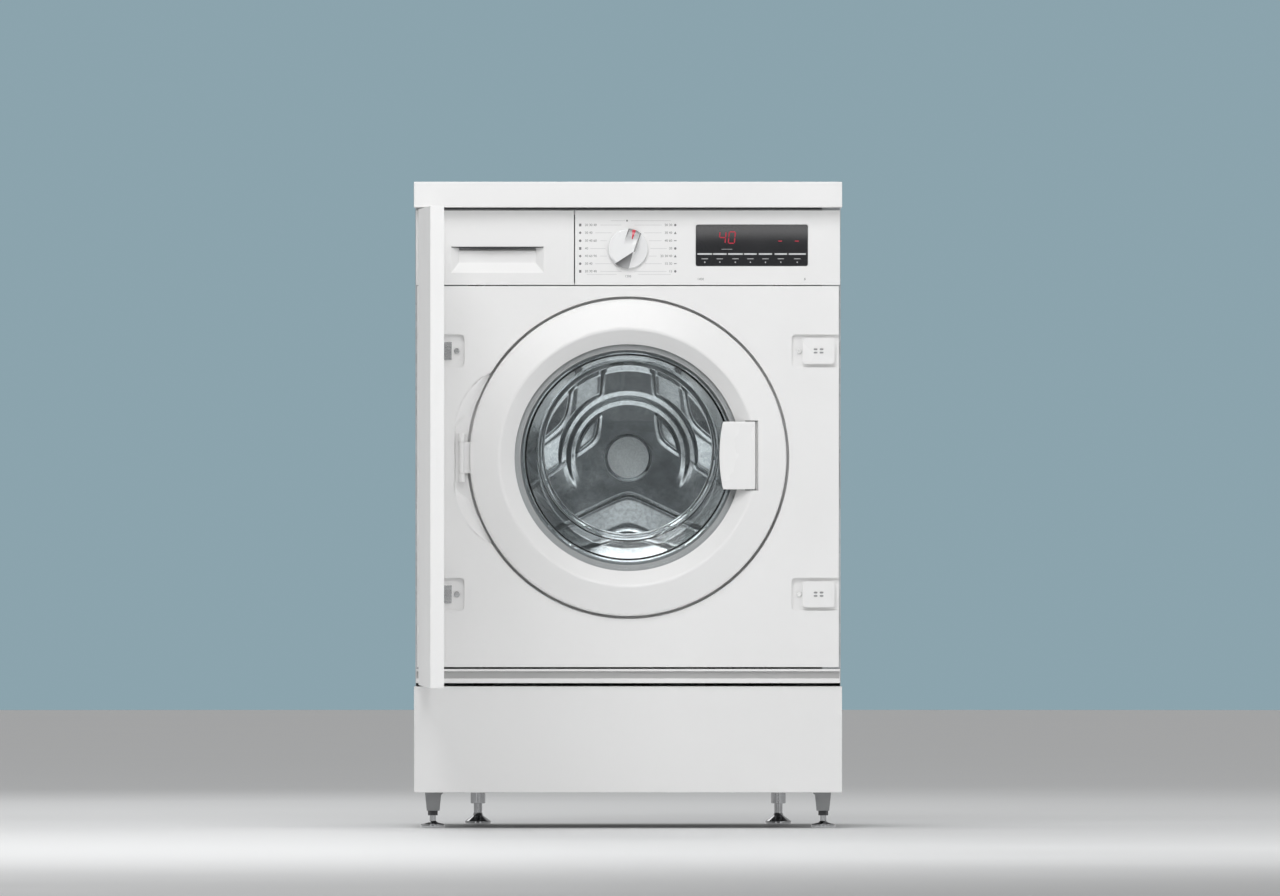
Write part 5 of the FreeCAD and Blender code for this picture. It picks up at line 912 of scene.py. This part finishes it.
# Height of each row of programmes, and the numbers to the left and right of the knob
PROGRAMMES = [
    (845.5, "20 30 40", "20 30"), (834.6, "30 40", "30 40"), (823.5, "30 40 60", "40 60"),
    (812.7, "40", "30"), (802.0, "40 60 90", "20 30 40"), (791.3, "30 40", "15 30"),
    (780.6, "20 30 40", "15"),
]
NUMBERS_LEFT, NUMBERS_RIGHT, NUMBER_PITCH, NUMBER_GAP = -60.5, 62.0, 2.35, 3
LEADER_RADIUS, LEADER_LEAST, LEADER_WIDTH, FRAME_WIDTH = 31.5, 9.0, 0.42, 0.4
FRAME_TOP, FRAME_BOTTOM = 851.6, 776.4


def programme_signs(row, z):
    """The two small signs beside a row of programmes."""
    if row % 3 == 0:
        return [oblong(-68.6, -65.4, z - 1.9, z + 1.9), circle(1.7, 16, 66.2, z)]
    if row % 3 == 1:
        return [[(-69, z), (-67, z - 2.1), (-65, z), (-67, z + 2.1)],
                [(64.4, z - 1.7), (68, z - 1.7), (66.2, z + 1.9)]]
    return [circle(1.8, 16, -67, z), oblong(64.4, 68, z - 0.5, z + 0.6)]


def programme_marks():
    """Numbers round the knob with their leader lines and small signs."""
    words, lines, signs = [], [], []
    for row, (z, left, right) in enumerate(PROGRAMMES):
        words += [(left, NUMBERS_LEFT, z, "LEFT"), (right, NUMBERS_RIGHT, z, "RIGHT")]
        reach = math.sqrt(max(LEADER_RADIUS ** 2 - (z - KNOB_Z) ** 2, LEADER_LEAST ** 2))
        left_end = NUMBERS_LEFT + len(left) * NUMBER_PITCH + NUMBER_GAP
        right_end = NUMBERS_RIGHT - len(right) * NUMBER_PITCH - NUMBER_GAP
        lines.append(strip(left_end, -reach, z, LEADER_WIDTH))
        lines.append(strip(reach, right_end, z, LEADER_WIDTH))
        signs += programme_signs(row, z)
    lines += [strip(left, right, FRAME_TOP, FRAME_WIDTH) for left, right in ((-24, -4), (4, 60))]
    lines += [strip(left, right, FRAME_BOTTOM, FRAME_WIDTH) for left, right in ((-58, -16), (14, 60))]
    signs.append(circle(1.3, 16, -1.4, FRAME_TOP))
    number_mesh("programme_numbers", words, 4.7)
    number_mesh("spin_number", [("1200", 0, 773.6, "CENTER")], 4.4)
    flat_face("programme_leaders", lines, "pale_print")
    flat_face("programme_signs", signs, "print")
    number_mesh("rating_numbers", [("1400", 97, 769.6, "LEFT"), ("8", 249, 769.6, "RIGHT")], 4.6)


# The ends of each lit bar, counted in widths and half heights of the digit
DIGIT_BARS = {
    "4": [((0, 1), (0, 2)), ((0, 1), (1, 1)), ((1, 1), (1, 2)), ((1, 0), (1, 1))],
    "0": [((0, 2), (1, 2)), ((1, 1), (1, 2)), ((1, 0), (1, 1)), ((0, 0), (1, 0)), ((0, 0), (0, 1)),
          ((0, 1), (0, 2))],
}
DIGIT_BOTTOM, DIGIT_WIDTH, DIGIT_HEIGHT, DIGIT_LEAN = 820.0, 8.5, 16.0, 0.1
BAR_HALF, BAR_GAP = 0.75, 0.35


def digit_segments(digit, left):
    """The lit bars of one seven-bar digit."""
    bars = []
    for ends in DIGIT_BARS[digit]:
        a, b = [Vector((left + x * DIGIT_WIDTH, DIGIT_BOTTOM + z * DIGIT_HEIGHT / 2)) for x, z in ends]
        way = (b - a).normalized()
        side = Vector((-way.y, way.x)) * BAR_HALF
        a, b = a + way * BAR_GAP, b - way * BAR_GAP
        near, far = a + way * BAR_HALF, b - way * BAR_HALF
        bar = [a, near - side, far - side, b, far + side, near + side]
        bars.append([(p.x + (p.y - DIGIT_BOTTOM) * DIGIT_LEAN, p.y) for p in bar])
    return bars


KEY_BARS = [(97.4, 117.8), (119.2, 138.1), (140.2, 160.8), (162.6, 180.4), (183.4, 201.9), (205.5, 222.9),
            (225.3, 249.1)]
KEY_BAR_BOTTOM, KEY_BAR_TOP, KEY_LINE_Z, KEY_DOT_Z = 803.8, 806.0, 798.2, 793.4


def display_marks():
    """Red digits and dashes, the row of key bars and a dot under each key."""
    lit = digit_segments("4", 127.5) + digit_segments("0", 140.5)
    lit += [strip(210.5, 216, 823, 1.3), strip(234, 239.5, 823, 1.3)]
    flat_face("display_digits", lit, "red_segment")
    bars = [oblong(left, right, KEY_BAR_BOTTOM, KEY_BAR_TOP) for left, right in KEY_BARS]
    flat_face("display_key_bars", bars, "key_bar")
    marks = []
    for left, right in KEY_BARS:
        middle = (left + right) / 2
        marks.append(strip(middle - 4.5, middle + 4.5, KEY_LINE_Z, 0.9))
        marks.append(circle(1.0, 10, middle, KEY_DOT_Z))
    marks.append(strip(131, 146, 811.6, 0.5))
    flat_face("display_key_marks", marks, "pale_print")


KNOB_RADIUS, SPINDLE_RADIUS = 27.8, 3.0
KNOB_FOOT, KNOB_RIM, KNOB_CREST, SPINDLE_END = -0.6, -5.4, -17.4, 21.0
BLADE_FALL, BLADE_POWER, FLANK_RUN, SCOOP_RUN, SCOOP_POWER = 33.0, 1.3, 2.4, 14.0, 3
NOTCH_SHARE, NOTCH_START, NOTCH_RUN, NOTCH_EDGE = 0.85, 4.0, 23.0, 1.5


def knob_height(x, z):
    """Where the knob's face stands in y at a point from its centre."""
    facets = (KNOB_RIGHT, KNOB_LEFT, KNOB_SCOOP)
    right, left, scoop = [across * x + up * z + start for across, up, start in facets]
    rise = smooth_step((BLADE_FALL + 1 - max(right, 0.0)) / BLADE_FALL) ** BLADE_POWER
    rise *= 1 - smooth_step(-right / FLANK_RUN)
    rise *= (1 - held(scoop / SCOOP_RUN)) ** SCOOP_POWER
    rise *= 1 - NOTCH_SHARE * smooth_step((z - NOTCH_START) / NOTCH_RUN) * smooth_step(left / NOTCH_EDGE)
    return KNOB_RIM + (KNOB_CREST - KNOB_RIM) * rise


def programme_knob_face():
    """The round knob with a leaning blade that falls to a scoop at its foot, and a spindle behind."""
    rings, steps, rim_inset, edge_start, edge_run = 70, 260, 0.9, 3.5, 3.0
    points = [(0, knob_height(0, 0), KNOB_Z)]
    for k in range(1, rings + 1):
        radius = (KNOB_RADIUS - rim_inset) * k / rings
        edge = smooth_step((radius - KNOB_RADIUS + edge_start) / edge_run)
        for x, z in circle(radius, steps):
            points.append((x, knob_height(x, z) * (1 - edge) + KNOB_RIM * edge, KNOB_Z + z))
    side = [(KNOB_RADIUS - 0.3, KNOB_RIM + 0.25), (KNOB_RADIUS, KNOB_RIM + 0.9), (KNOB_RADIUS, KNOB_FOOT),
            (SPINDLE_RADIUS, KNOB_FOOT), (SPINDLE_RADIUS, SPINDLE_END)]
    for radius, y in side:
        points += [(x, y, z) for x, z in circle(radius, steps, z=KNOB_Z)]
    mesh = mesh_of("programme_knob_face", points, disc_faces(rings + len(side), steps), 40)
    settle(mesh, "knob", "knob", ["programme_knob"])


# Hoses

def hose_tree():
    """A ribbed hose along a path: rounded corners, and a wall that swells and shrinks with its length."""
    tree, given, made = geometry_tree("ribbed_hose", [
        ("Radius", "Float", 0.016), ("Bend", "Float", 0.02), ("Pitch", "Float", 0.006),
        ("Rib Depth", "Float", 0.1)])
    line = add(tree, "GeometryNodeMeshToCurve", {"Mesh": given["Geometry"]})["Curve"]
    corners = {"Curve": line, "Radius": given["Bend"], "Count": 12}
    bend = add(tree, "GeometryNodeFilletCurve", corners, mode="POLY")["Curve"]
    step = sums("DIVIDE", given["Pitch"], 6.0)
    even = add(tree, "GeometryNodeResampleCurve", {"Curve": bend, "Length": step}, mode="LENGTH")["Curve"]
    along = add(tree, "GeometryNodeSplineParameter")["Length"]
    wave = sums("COSINE", sums("MULTIPLY", sums("DIVIDE", along, given["Pitch"]), TURN))
    swell = sums("MULTIPLY_ADD", wave, sums("MULTIPLY", given["Rib Depth"], 0.5),
                 sums("MULTIPLY_ADD", given["Rib Depth"], -0.5, 1.0))
    ring = add(tree, "GeometryNodeCurvePrimitiveCircle", {"Resolution": 32, "Radius": given["Radius"]})
    skin = add(tree, "GeometryNodeCurveToMesh", {
        "Curve": even, "Profile Curve": ring["Curve"], "Scale": swell, "Fill Caps": True})
    return painted(tree, skin["Mesh"], given, made)


def hose(tree, node, route, radius, bend, pitch, depth, finish, stretch=None):
    """A ribbed hose in place of its node, along a route in metres."""
    mesh = bpy.data.meshes.new(node + "_route")
    mesh.from_pydata(route, [(k, k + 1) for k in range(len(route) - 1)], [])
    values = {"Radius": radius, "Bend": bend, "Pitch": pitch, "Rib Depth": depth, "Finish": FINISH[finish]}
    result = grown(node + "_ribs", mesh, tree, values)
    shade(result, 50)
    settle(result, finish, nodes[node]["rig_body"], [node], stretch)


def all_hoses():
    """The three hoses inside the cabinet."""
    tree = hose_tree()
    low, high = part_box("sump_hose")
    size = (high.y - low.y) / 2
    middle = (low + high) / 2
    left, right = low.x + size, high.x - size
    route = [(left, middle.y, high.z), (left, middle.y, middle.z), (right, middle.y, middle.z),
             (right, middle.y, low.z)]
    hose(tree, "sump_hose", route, size, (high.z - low.z) / 4, 0.007, 0.14, "black_rubber",
         ((0, 0, low.z), (0, 0, high.z)))
    low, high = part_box("dispenser_hose")
    middle = (low + high) / 2
    route = [(middle.x, middle.y, low.z), (middle.x, middle.y, high.z)]
    hose(tree, "dispenser_hose", route, (high.x - low.x) / 2, 0.001, 0.006, 0.14, "black_rubber",
         ((0, 0, high.z), (0, 0, low.z)))
    low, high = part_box("inlet_tube")
    middle = (low + high) / 2
    route = [(middle.x, low.y, middle.z), (middle.x, high.y, middle.z)]
    hose(tree, "inlet_tube", route, (high.x - low.x) / 2, 0.001, 0.005, 0.1, "grey_moulding")


# Small forms of the front

PAD_HEIGHTS = (669, 328)
RECESS_LEFT, RECESS_BOTTOM, RECESS_TOP, RECESS_DEPTH, RECESS_CORNER = -243.0, 388.0, 650.0, 5.0, 95.0
RING_CLEAR = 225.0


def grip_slot_liner():
    """A grey sheet at the back of the slot above the drawer's finger pocket: painted shade in the slot."""
    mesh = prism("grip_slot_liner", oblong(-236.6, -129.4, 15.2, 15.9), 2, (809.6, 822.4))
    settle(soften(mesh, 0.15), "frame_grey_and_slot_shade", "drawer")


def grip_lip():
    """A dark strip along the top of the finger pocket, thinner towards its ends: painted shadow under the
    plate's edge.
    """
    left, right, top, least, belly, steps = -247.6, -118.4, 814.95, 0.9, 2.1, 24
    outline = [(left, top), (right, top)]
    for k in range(steps + 1):
        along = 1 - 2 * k / steps
        x = (left + right) / 2 + (right - left) / 2 * along
        outline.append((x, top - least - belly * (1 - along * along)))
    settle(prism("grip_lip", outline, 1, (0.0, 0.5)), "painted_gap_shade", "drawer")


def handle_slot_lining():
    """The white floor and slope of the slot that the handle's outer end swings into."""
    low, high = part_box("door_handle")
    end, over = high.x / MM, 1.2
    profile = [(0.5, -1.0), (0.5, -11.0), (2.1, -11.0), (3.5, -17.0), (4.4, -17.0), (4.4, -1.0)]
    outline = [(end + beyond, y) for beyond, y in profile]
    mesh = prism("handle_slot_lining", outline, 2, (low.z / MM - over, high.z / MM + over))
    settle(soften(mesh, 0.2), "ring", "porthole")


def rail_web_strip():
    """A grey strip on the web of the lower rail, between its two lips: painted shade in the recessed web."""
    low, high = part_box("lower_front_rail")
    outline = oblong(low.x / MM + 0.6, high.x / MM - 0.6, 5.7, 6.6)
    mesh = soften(prism("rail_web_strip", outline, 2, (210.3, 219.7)), 0.3)
    settle(mesh, "rail_web_shade", "cabinet")


def cap_slots():
    """Four short grey marks, flat on the face of each hinge cover cap: painted shade for its dimples."""
    low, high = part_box("hinge_cover_caps")
    middle = (low.x + high.x) / 2 / MM
    aside, above, half_width, half_height, corner = 4.2, 2.3, 2.6, 1.1, 0.7
    slots = []
    for centre in PAD_HEIGHTS:
        for x in (middle - aside, middle + aside):
            for z in (centre - above, centre + above):
                corners = oblong(x - half_width, x + half_width, z - half_height, z + half_height)
                slots.append(rounded([(a, b, corner) for a, b in corners], 3))
    flat_face("cap_slots", slots, "grey_moulding", low.y / MM)


def recess_path():
    """The left edge of the hinge recess as (x, z, inward x, inward z), from its top round to its bottom."""
    steps = 48
    path = []
    for height, first in ((RECESS_TOP - RECESS_CORNER, 90), (RECESS_BOTTOM + RECESS_CORNER, 180)):
        for k in range(steps + 1):
            turn = math.radians(first + 90 * k / steps)
            across, up = math.cos(turn), math.sin(turn)
            x = RECESS_LEFT + RECESS_CORNER + RECESS_CORNER * across
            path.append((x, height + RECESS_CORNER * up, -across, -up))
    upper, lower = path[steps][1], path[steps + 1][1]
    straight = [(RECESS_LEFT, upper + (lower - upper) * k / steps, 1.0, 0.0) for k in range(1, steps)]
    return path[:steps + 1] + straight + path[steps + 1:]


def ramp_width(x, z, across, up):
    """How wide the slope is: narrow beside the hinge, and never under the ring."""
    low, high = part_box("porthole_hinge")
    beside = max(low.z / MM - z, z - high.z / MM)
    narrow, wider, clear, run, least, step = 1.6, 16.4, 6, 26, 0.4, 0.2
    width = narrow + wider * smooth_step((beside - clear) / run)
    while width > least and math.hypot(x + width * across, z + width * up - AXIS_Z) < RING_CLEAR:
        width -= step
    return width


def hinge_recess_slope():
    """The easy slope from the panel's face down to the floor of the hinge recess."""
    over, rises, proud, floor, inner, under = 1.5, 12, -0.03, 4.99, 0.1, -0.005
    least, ring_margin = 2, 4
    points, faces = [], []
    for x, z, across, up in recess_path():
        width = ramp_width(x, z, across, up)
        if width < least and math.hypot(x, z - AXIS_Z) < RING_CLEAR + ring_margin:
            continue
        section = [(-over + (width + over) * k / rises, proud + RECESS_DEPTH * smooth_step(k / rises))
                   for k in range(rises + 1)]
        section += [(width, floor), (inner, floor), (inner, under), (-over, under)]
        points += [(x + inward * across, y, z + inward * up) for inward, y in section]
    count = rises + 5
    last = len(points) - count
    for here in range(0, last, count):
        faces += band(here, here + count, count)
    faces += [tuple(range(count)), tuple(range(last, last + count))]
    mesh = mesh_of("hinge_recess_slope", points, faces, 45)
    settle(mesh, "enamel", "cabinet")


def tapered_brackets():
    """The two front foot brackets, narrower towards the foot."""
    mesh = joined_copy("front_foot_brackets")
    low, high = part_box("front_foot_brackets")
    top, foot_x, foot_y = 50 * MM, 272.0 * MM, 60 * MM
    taper_x, taper_y = 0.26, 0.2
    for point in mesh.vertices:
        drop = held((top - point.co.z) / (top - low.z))
        middle = math.copysign(foot_x, point.co.x)
        point.co.x = middle + (point.co.x - middle) * (1 - taper_x * drop)
        point.co.y = foot_y + (point.co.y - foot_y) * (1 - taper_y * drop)
    settle(soften(mesh, 0.8), "bracket", nodes["front_foot_brackets"]["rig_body"],
           ["front_foot_brackets"])


# The whole machine

# Node, finish, slot, width of its soft edges, their segments and the least angle that is softened
FRONT_NODES = [
    ("top_board", "slab", "white_board", 1.2, 3),
    ("plinth_board", "plinth", "white_board", 0.8, 3),
    ("furniture_door_panel", "door_board", "white_board", 1.0, 3),
    ("front_panel", "enamel", "white_enamel", 0.8),
    ("control_fascia", "fascia", "white_moulding", 0.5),
    ("drawer_front", "drawer", "white_moulding", 0.8, 3),
    ("display_window", "display", "display_black", 0.3),
    ("lower_front_rail", "fascia", "white_moulding", 0.4),
    ("hinge_cover_caps", "handle", "white_moulding", 0.5),
    ("door_outer_ring", "ring", "white_moulding", 0.4, 2, 40),
    ("door_handle", "handle", "white_moulding", 1.4, 3, 40),
]

# Finish, slot and width of the soft edges of the other nodes
OTHER_NODES = [
    ("zinc", "galvanised", 0.5, ("left_side_wall", "right_side_wall", "rear_panel")),
    ("black_plastic", "black_plastic", 0.5, ("base_frame",)),
    ("dark_zinc", "galvanised", 0.4, ("upper_crossbars",)),
    ("bright_hinge", "dark_metal", 0.4, ("furniture_hinge_arms", "hinge_cups")),
    ("enamel", "white_enamel", 1.6, ("porthole_hinge",)),
    ("enamel", "white_enamel", 1.4, ("door_hinge_arm",)),
    ("black_plastic", "black_plastic", 0.4, ("foot_lock_nuts",)),
    ("chrome", "foot_steel", 0.5, ("rear_foot_sleeves",)),
    ("chrome", "foot_steel", 0.6,
     ("left_front_foot", "right_front_foot", "left_rear_foot", "right_rear_foot")),
    ("lifter", "grey_plastic", 2.0, ("drum_lifters",)),
    ("tray", "drawer_plastic", 0.8, ("drawer_tray",)),
    ("black_plastic", "black_plastic", 0.4, ("cable_gland",)),
    ("grey_moulding", "grey_plastic", 0.5, ("water_inlet_valve",)),
    ("black_rubber", "black_rubber", 0.6, ("drive_belt",)),
    ("frame_grey_and_slot_shade", "grey_plastic", 0.4, ("door_inner_frame",)),
]

# Nodes that keep their shape, under their finish
PLAIN_NODES = {
    "black_plastic": ("control_module", "door_lock", "plinth_clips"),
    "tub": ("dispenser_housing", "tub_front", "tub_rear"),
    "grey_moulding": ("drain_pump", "drain_pipe"),
    "bearing": ("drum_bearings", "heating_element", "motor_pulley"),
    "concrete": ("counterweights",),
    "casting": ("drive_motor", "drum_spider", "drum_pulley"),
    "bright_hinge": ("latch_hook",),
}


def front_nodes():
    """Boards, sheet panel, fascia, drawer face, lower rail, hinge covers, ring and handle."""
    for row in FRONT_NODES:
        dressed(*row)


def other_nodes():
    """Edges and finishes of every other node."""
    for finish, slot, width, names in OTHER_NODES:
        for node in names:
            dressed(node, finish, slot, width)
    for finish, names in PLAIN_NODES.items():
        for node in names:
            paint(nodes[node].data, finish)


def hung_parts():
    """Springs from the top of the cabinet and dampers from its base, to the washing unit."""
    low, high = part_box("suspension_springs")
    settle(joined_copy("suspension_springs"), "chrome", "cabinet",
           ["suspension_springs"], ((0, 0, high.z), (0, 0, low.z)))
    low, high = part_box("shock_absorbers")
    settle(soften(joined_copy("shock_absorbers"), 0.5), "grey_moulding", "cabinet",
           ["shock_absorbers"], ((0, 0, low.z), (0, 0, high.z)))


def all_screws():
    """Panel screws at the hinge pads and round the rear panel."""
    head = screw_head()
    tree = screw_tree()
    pad_x, pad_y, rear_y = 240, 4.6, 543.6
    left = [(-pad_x, pad_y, z) for z in PAD_HEIGHTS]
    screws(tree, head, "hinge_pad_screws", left, 8.0, "screw", stands_for=["panel_screws"])
    right = [(pad_x, pad_y, z) for z in PAD_HEIGHTS]
    screws(tree, head, "painted_pad_screws", right, 7.2, "handle")
    rear = [(x, rear_y, z) for x in (-290, 290) for z in (80, 240, 400, 560, 720, 845)]
    rear += [(x, rear_y, z) for x in (-180, -60, 60, 180) for z in (70, 850)]
    screws(tree, head, "rear_panel_screws", rear, 8.0, "screw", backwards=True)
    bpy.data.objects.remove(head)


# Stage, lamps and camera

def studio_floor(name):
    """Pale floor that bright metal and glass see as a white sheet close to the machine."""
    material = smooth_finish(name, (0.72, 0.728, 0.732), 0.5, 0.8, 0.02, 0.05, 0.004, 0.00002)
    tree = material.node_tree
    distance = add(tree, "ShaderNodeVectorMath", {0: own_place(tree)}, operation="LENGTH")["Value"]
    near = laid(distance, 3.0, 2.1)
    path = add(tree, "ShaderNodeLightPath")
    seen = sums("MAXIMUM", path["Is Glossy Ray"], path["Is Transmission Ray"])
    glow = sums("MULTIPLY", sums("MULTIPLY", near, seen), 0.55)
    feed(tree.nodes["Principled BSDF"].inputs, {"Emission Color": (1, 1, 1, 1), "Emission Strength": glow})
    return material


def studio_world():
    """A soft world with a ring of light round the camera, and a plain blue where the camera looks at it."""
    world = bpy.data.worlds.new("soft_studio")
    scene.world = world
    world.use_nodes = True
    tree = world.node_tree
    way = add(tree, "ShaderNodeSeparateXYZ", {"Vector": add(tree, "ShaderNodeTexCoord")["Generated"]})
    front = laid(way["Y"], -1.0, -0.2, interpolation_type="SMOOTHSTEP")
    light = blend(front, (0.12, 0.124, 0.128, 1), (0.5, 0.502, 0.503, 1))
    ahead = sums("MULTIPLY", way["Y"], -1.0)
    outer_edge = sums("SUBTRACT", ahead, laid(way["Z"], 0.03, 0.2, 0.885, 0.925))
    ring_mask = sums("MULTIPLY", laid(outer_edge, 0.0, 0.02), laid(ahead, 0.974, 0.954))
    ring_light = tinted((1.0, 1.0, 1.0), laid(way["Z"], 0.08, 0.4, 2.0, 0.8))
    light = blend(ring_mask, light, ring_light)
    camera_ray = add(tree, "ShaderNodeLightPath")["Is Camera Ray"]
    colour = blend(camera_ray, light, (0.26, 0.37, 0.42, 1))
    feed(tree.nodes["Background"].inputs, {"Color": colour})


# Name, place, size and power
LAMPS = [
    ("key_lamp", (-0.35, -2.75, 3.3), 2.4, 82.0),
    ("left_fill", (-2.8, -2.6, 1.5), 2.2, 9.0),
    ("right_fill", (2.9, -2.4, 1.3), 2.2, 17.0),
    ("rear_lamp", (-1.2, 3.0, 2.6), 2.4, 30.0),
]
LAMP_AIM = Vector((0, 0, 0.5))


def studio():
    """A pale round floor, a soft world and four lamps."""
    radius, sides = 19.0, 256
    floor_mesh = bpy.data.meshes.new("floor")
    floor_mesh.from_pydata([(x, y, 0) for x, y in circle(radius, sides)], [], [tuple(range(sides))])
    floor = bpy.data.objects.new("floor", floor_mesh)
    scene.collection.objects.link(floor)
    floor_mesh.materials.append(studio_floor("pale_floor"))
    studio_world()
    for name, place, size, power in LAMPS:
        lamp = bpy.data.lights.new(name, "AREA")
        lamp.shape = "SQUARE"
        lamp.size = size
        lamp.energy = power
        holder = bpy.data.objects.new(name, lamp)
        holder.location = place
        holder.rotation_euler = (LAMP_AIM - Vector(place)).to_track_quat("-Z", "Y").to_euler()
        holder.visible_camera = False
        scene.collection.objects.link(holder)


def photo_camera():
    """A long lens straight on to the front."""
    lens = bpy.data.cameras.new("front_camera")
    lens.lens = 842.8
    lens.sensor_width = 36.0
    lens.clip_end = 100.0
    camera = bpy.data.objects.new("front_camera", lens)
    camera.location = (0.0168, -42.0, 0.533)
    camera.rotation_euler = (math.pi / 2, 0, 0)
    scene.collection.objects.link(camera)
    scene.camera = camera


photo_camera()
studio()
front_nodes()
pressed_drum_back()
rolled_drum_shell()
drum_perforations()
glass_bowl()
bellows_gasket()
programme_marks()
display_marks()
programme_knob_face()
grip_slot_liner()
grip_lip()
handle_slot_lining()
rail_web_strip()
cap_slots()
hinge_recess_slope()
tapered_brackets()
all_hoses()
other_nodes()
hung_parts()
all_screws()
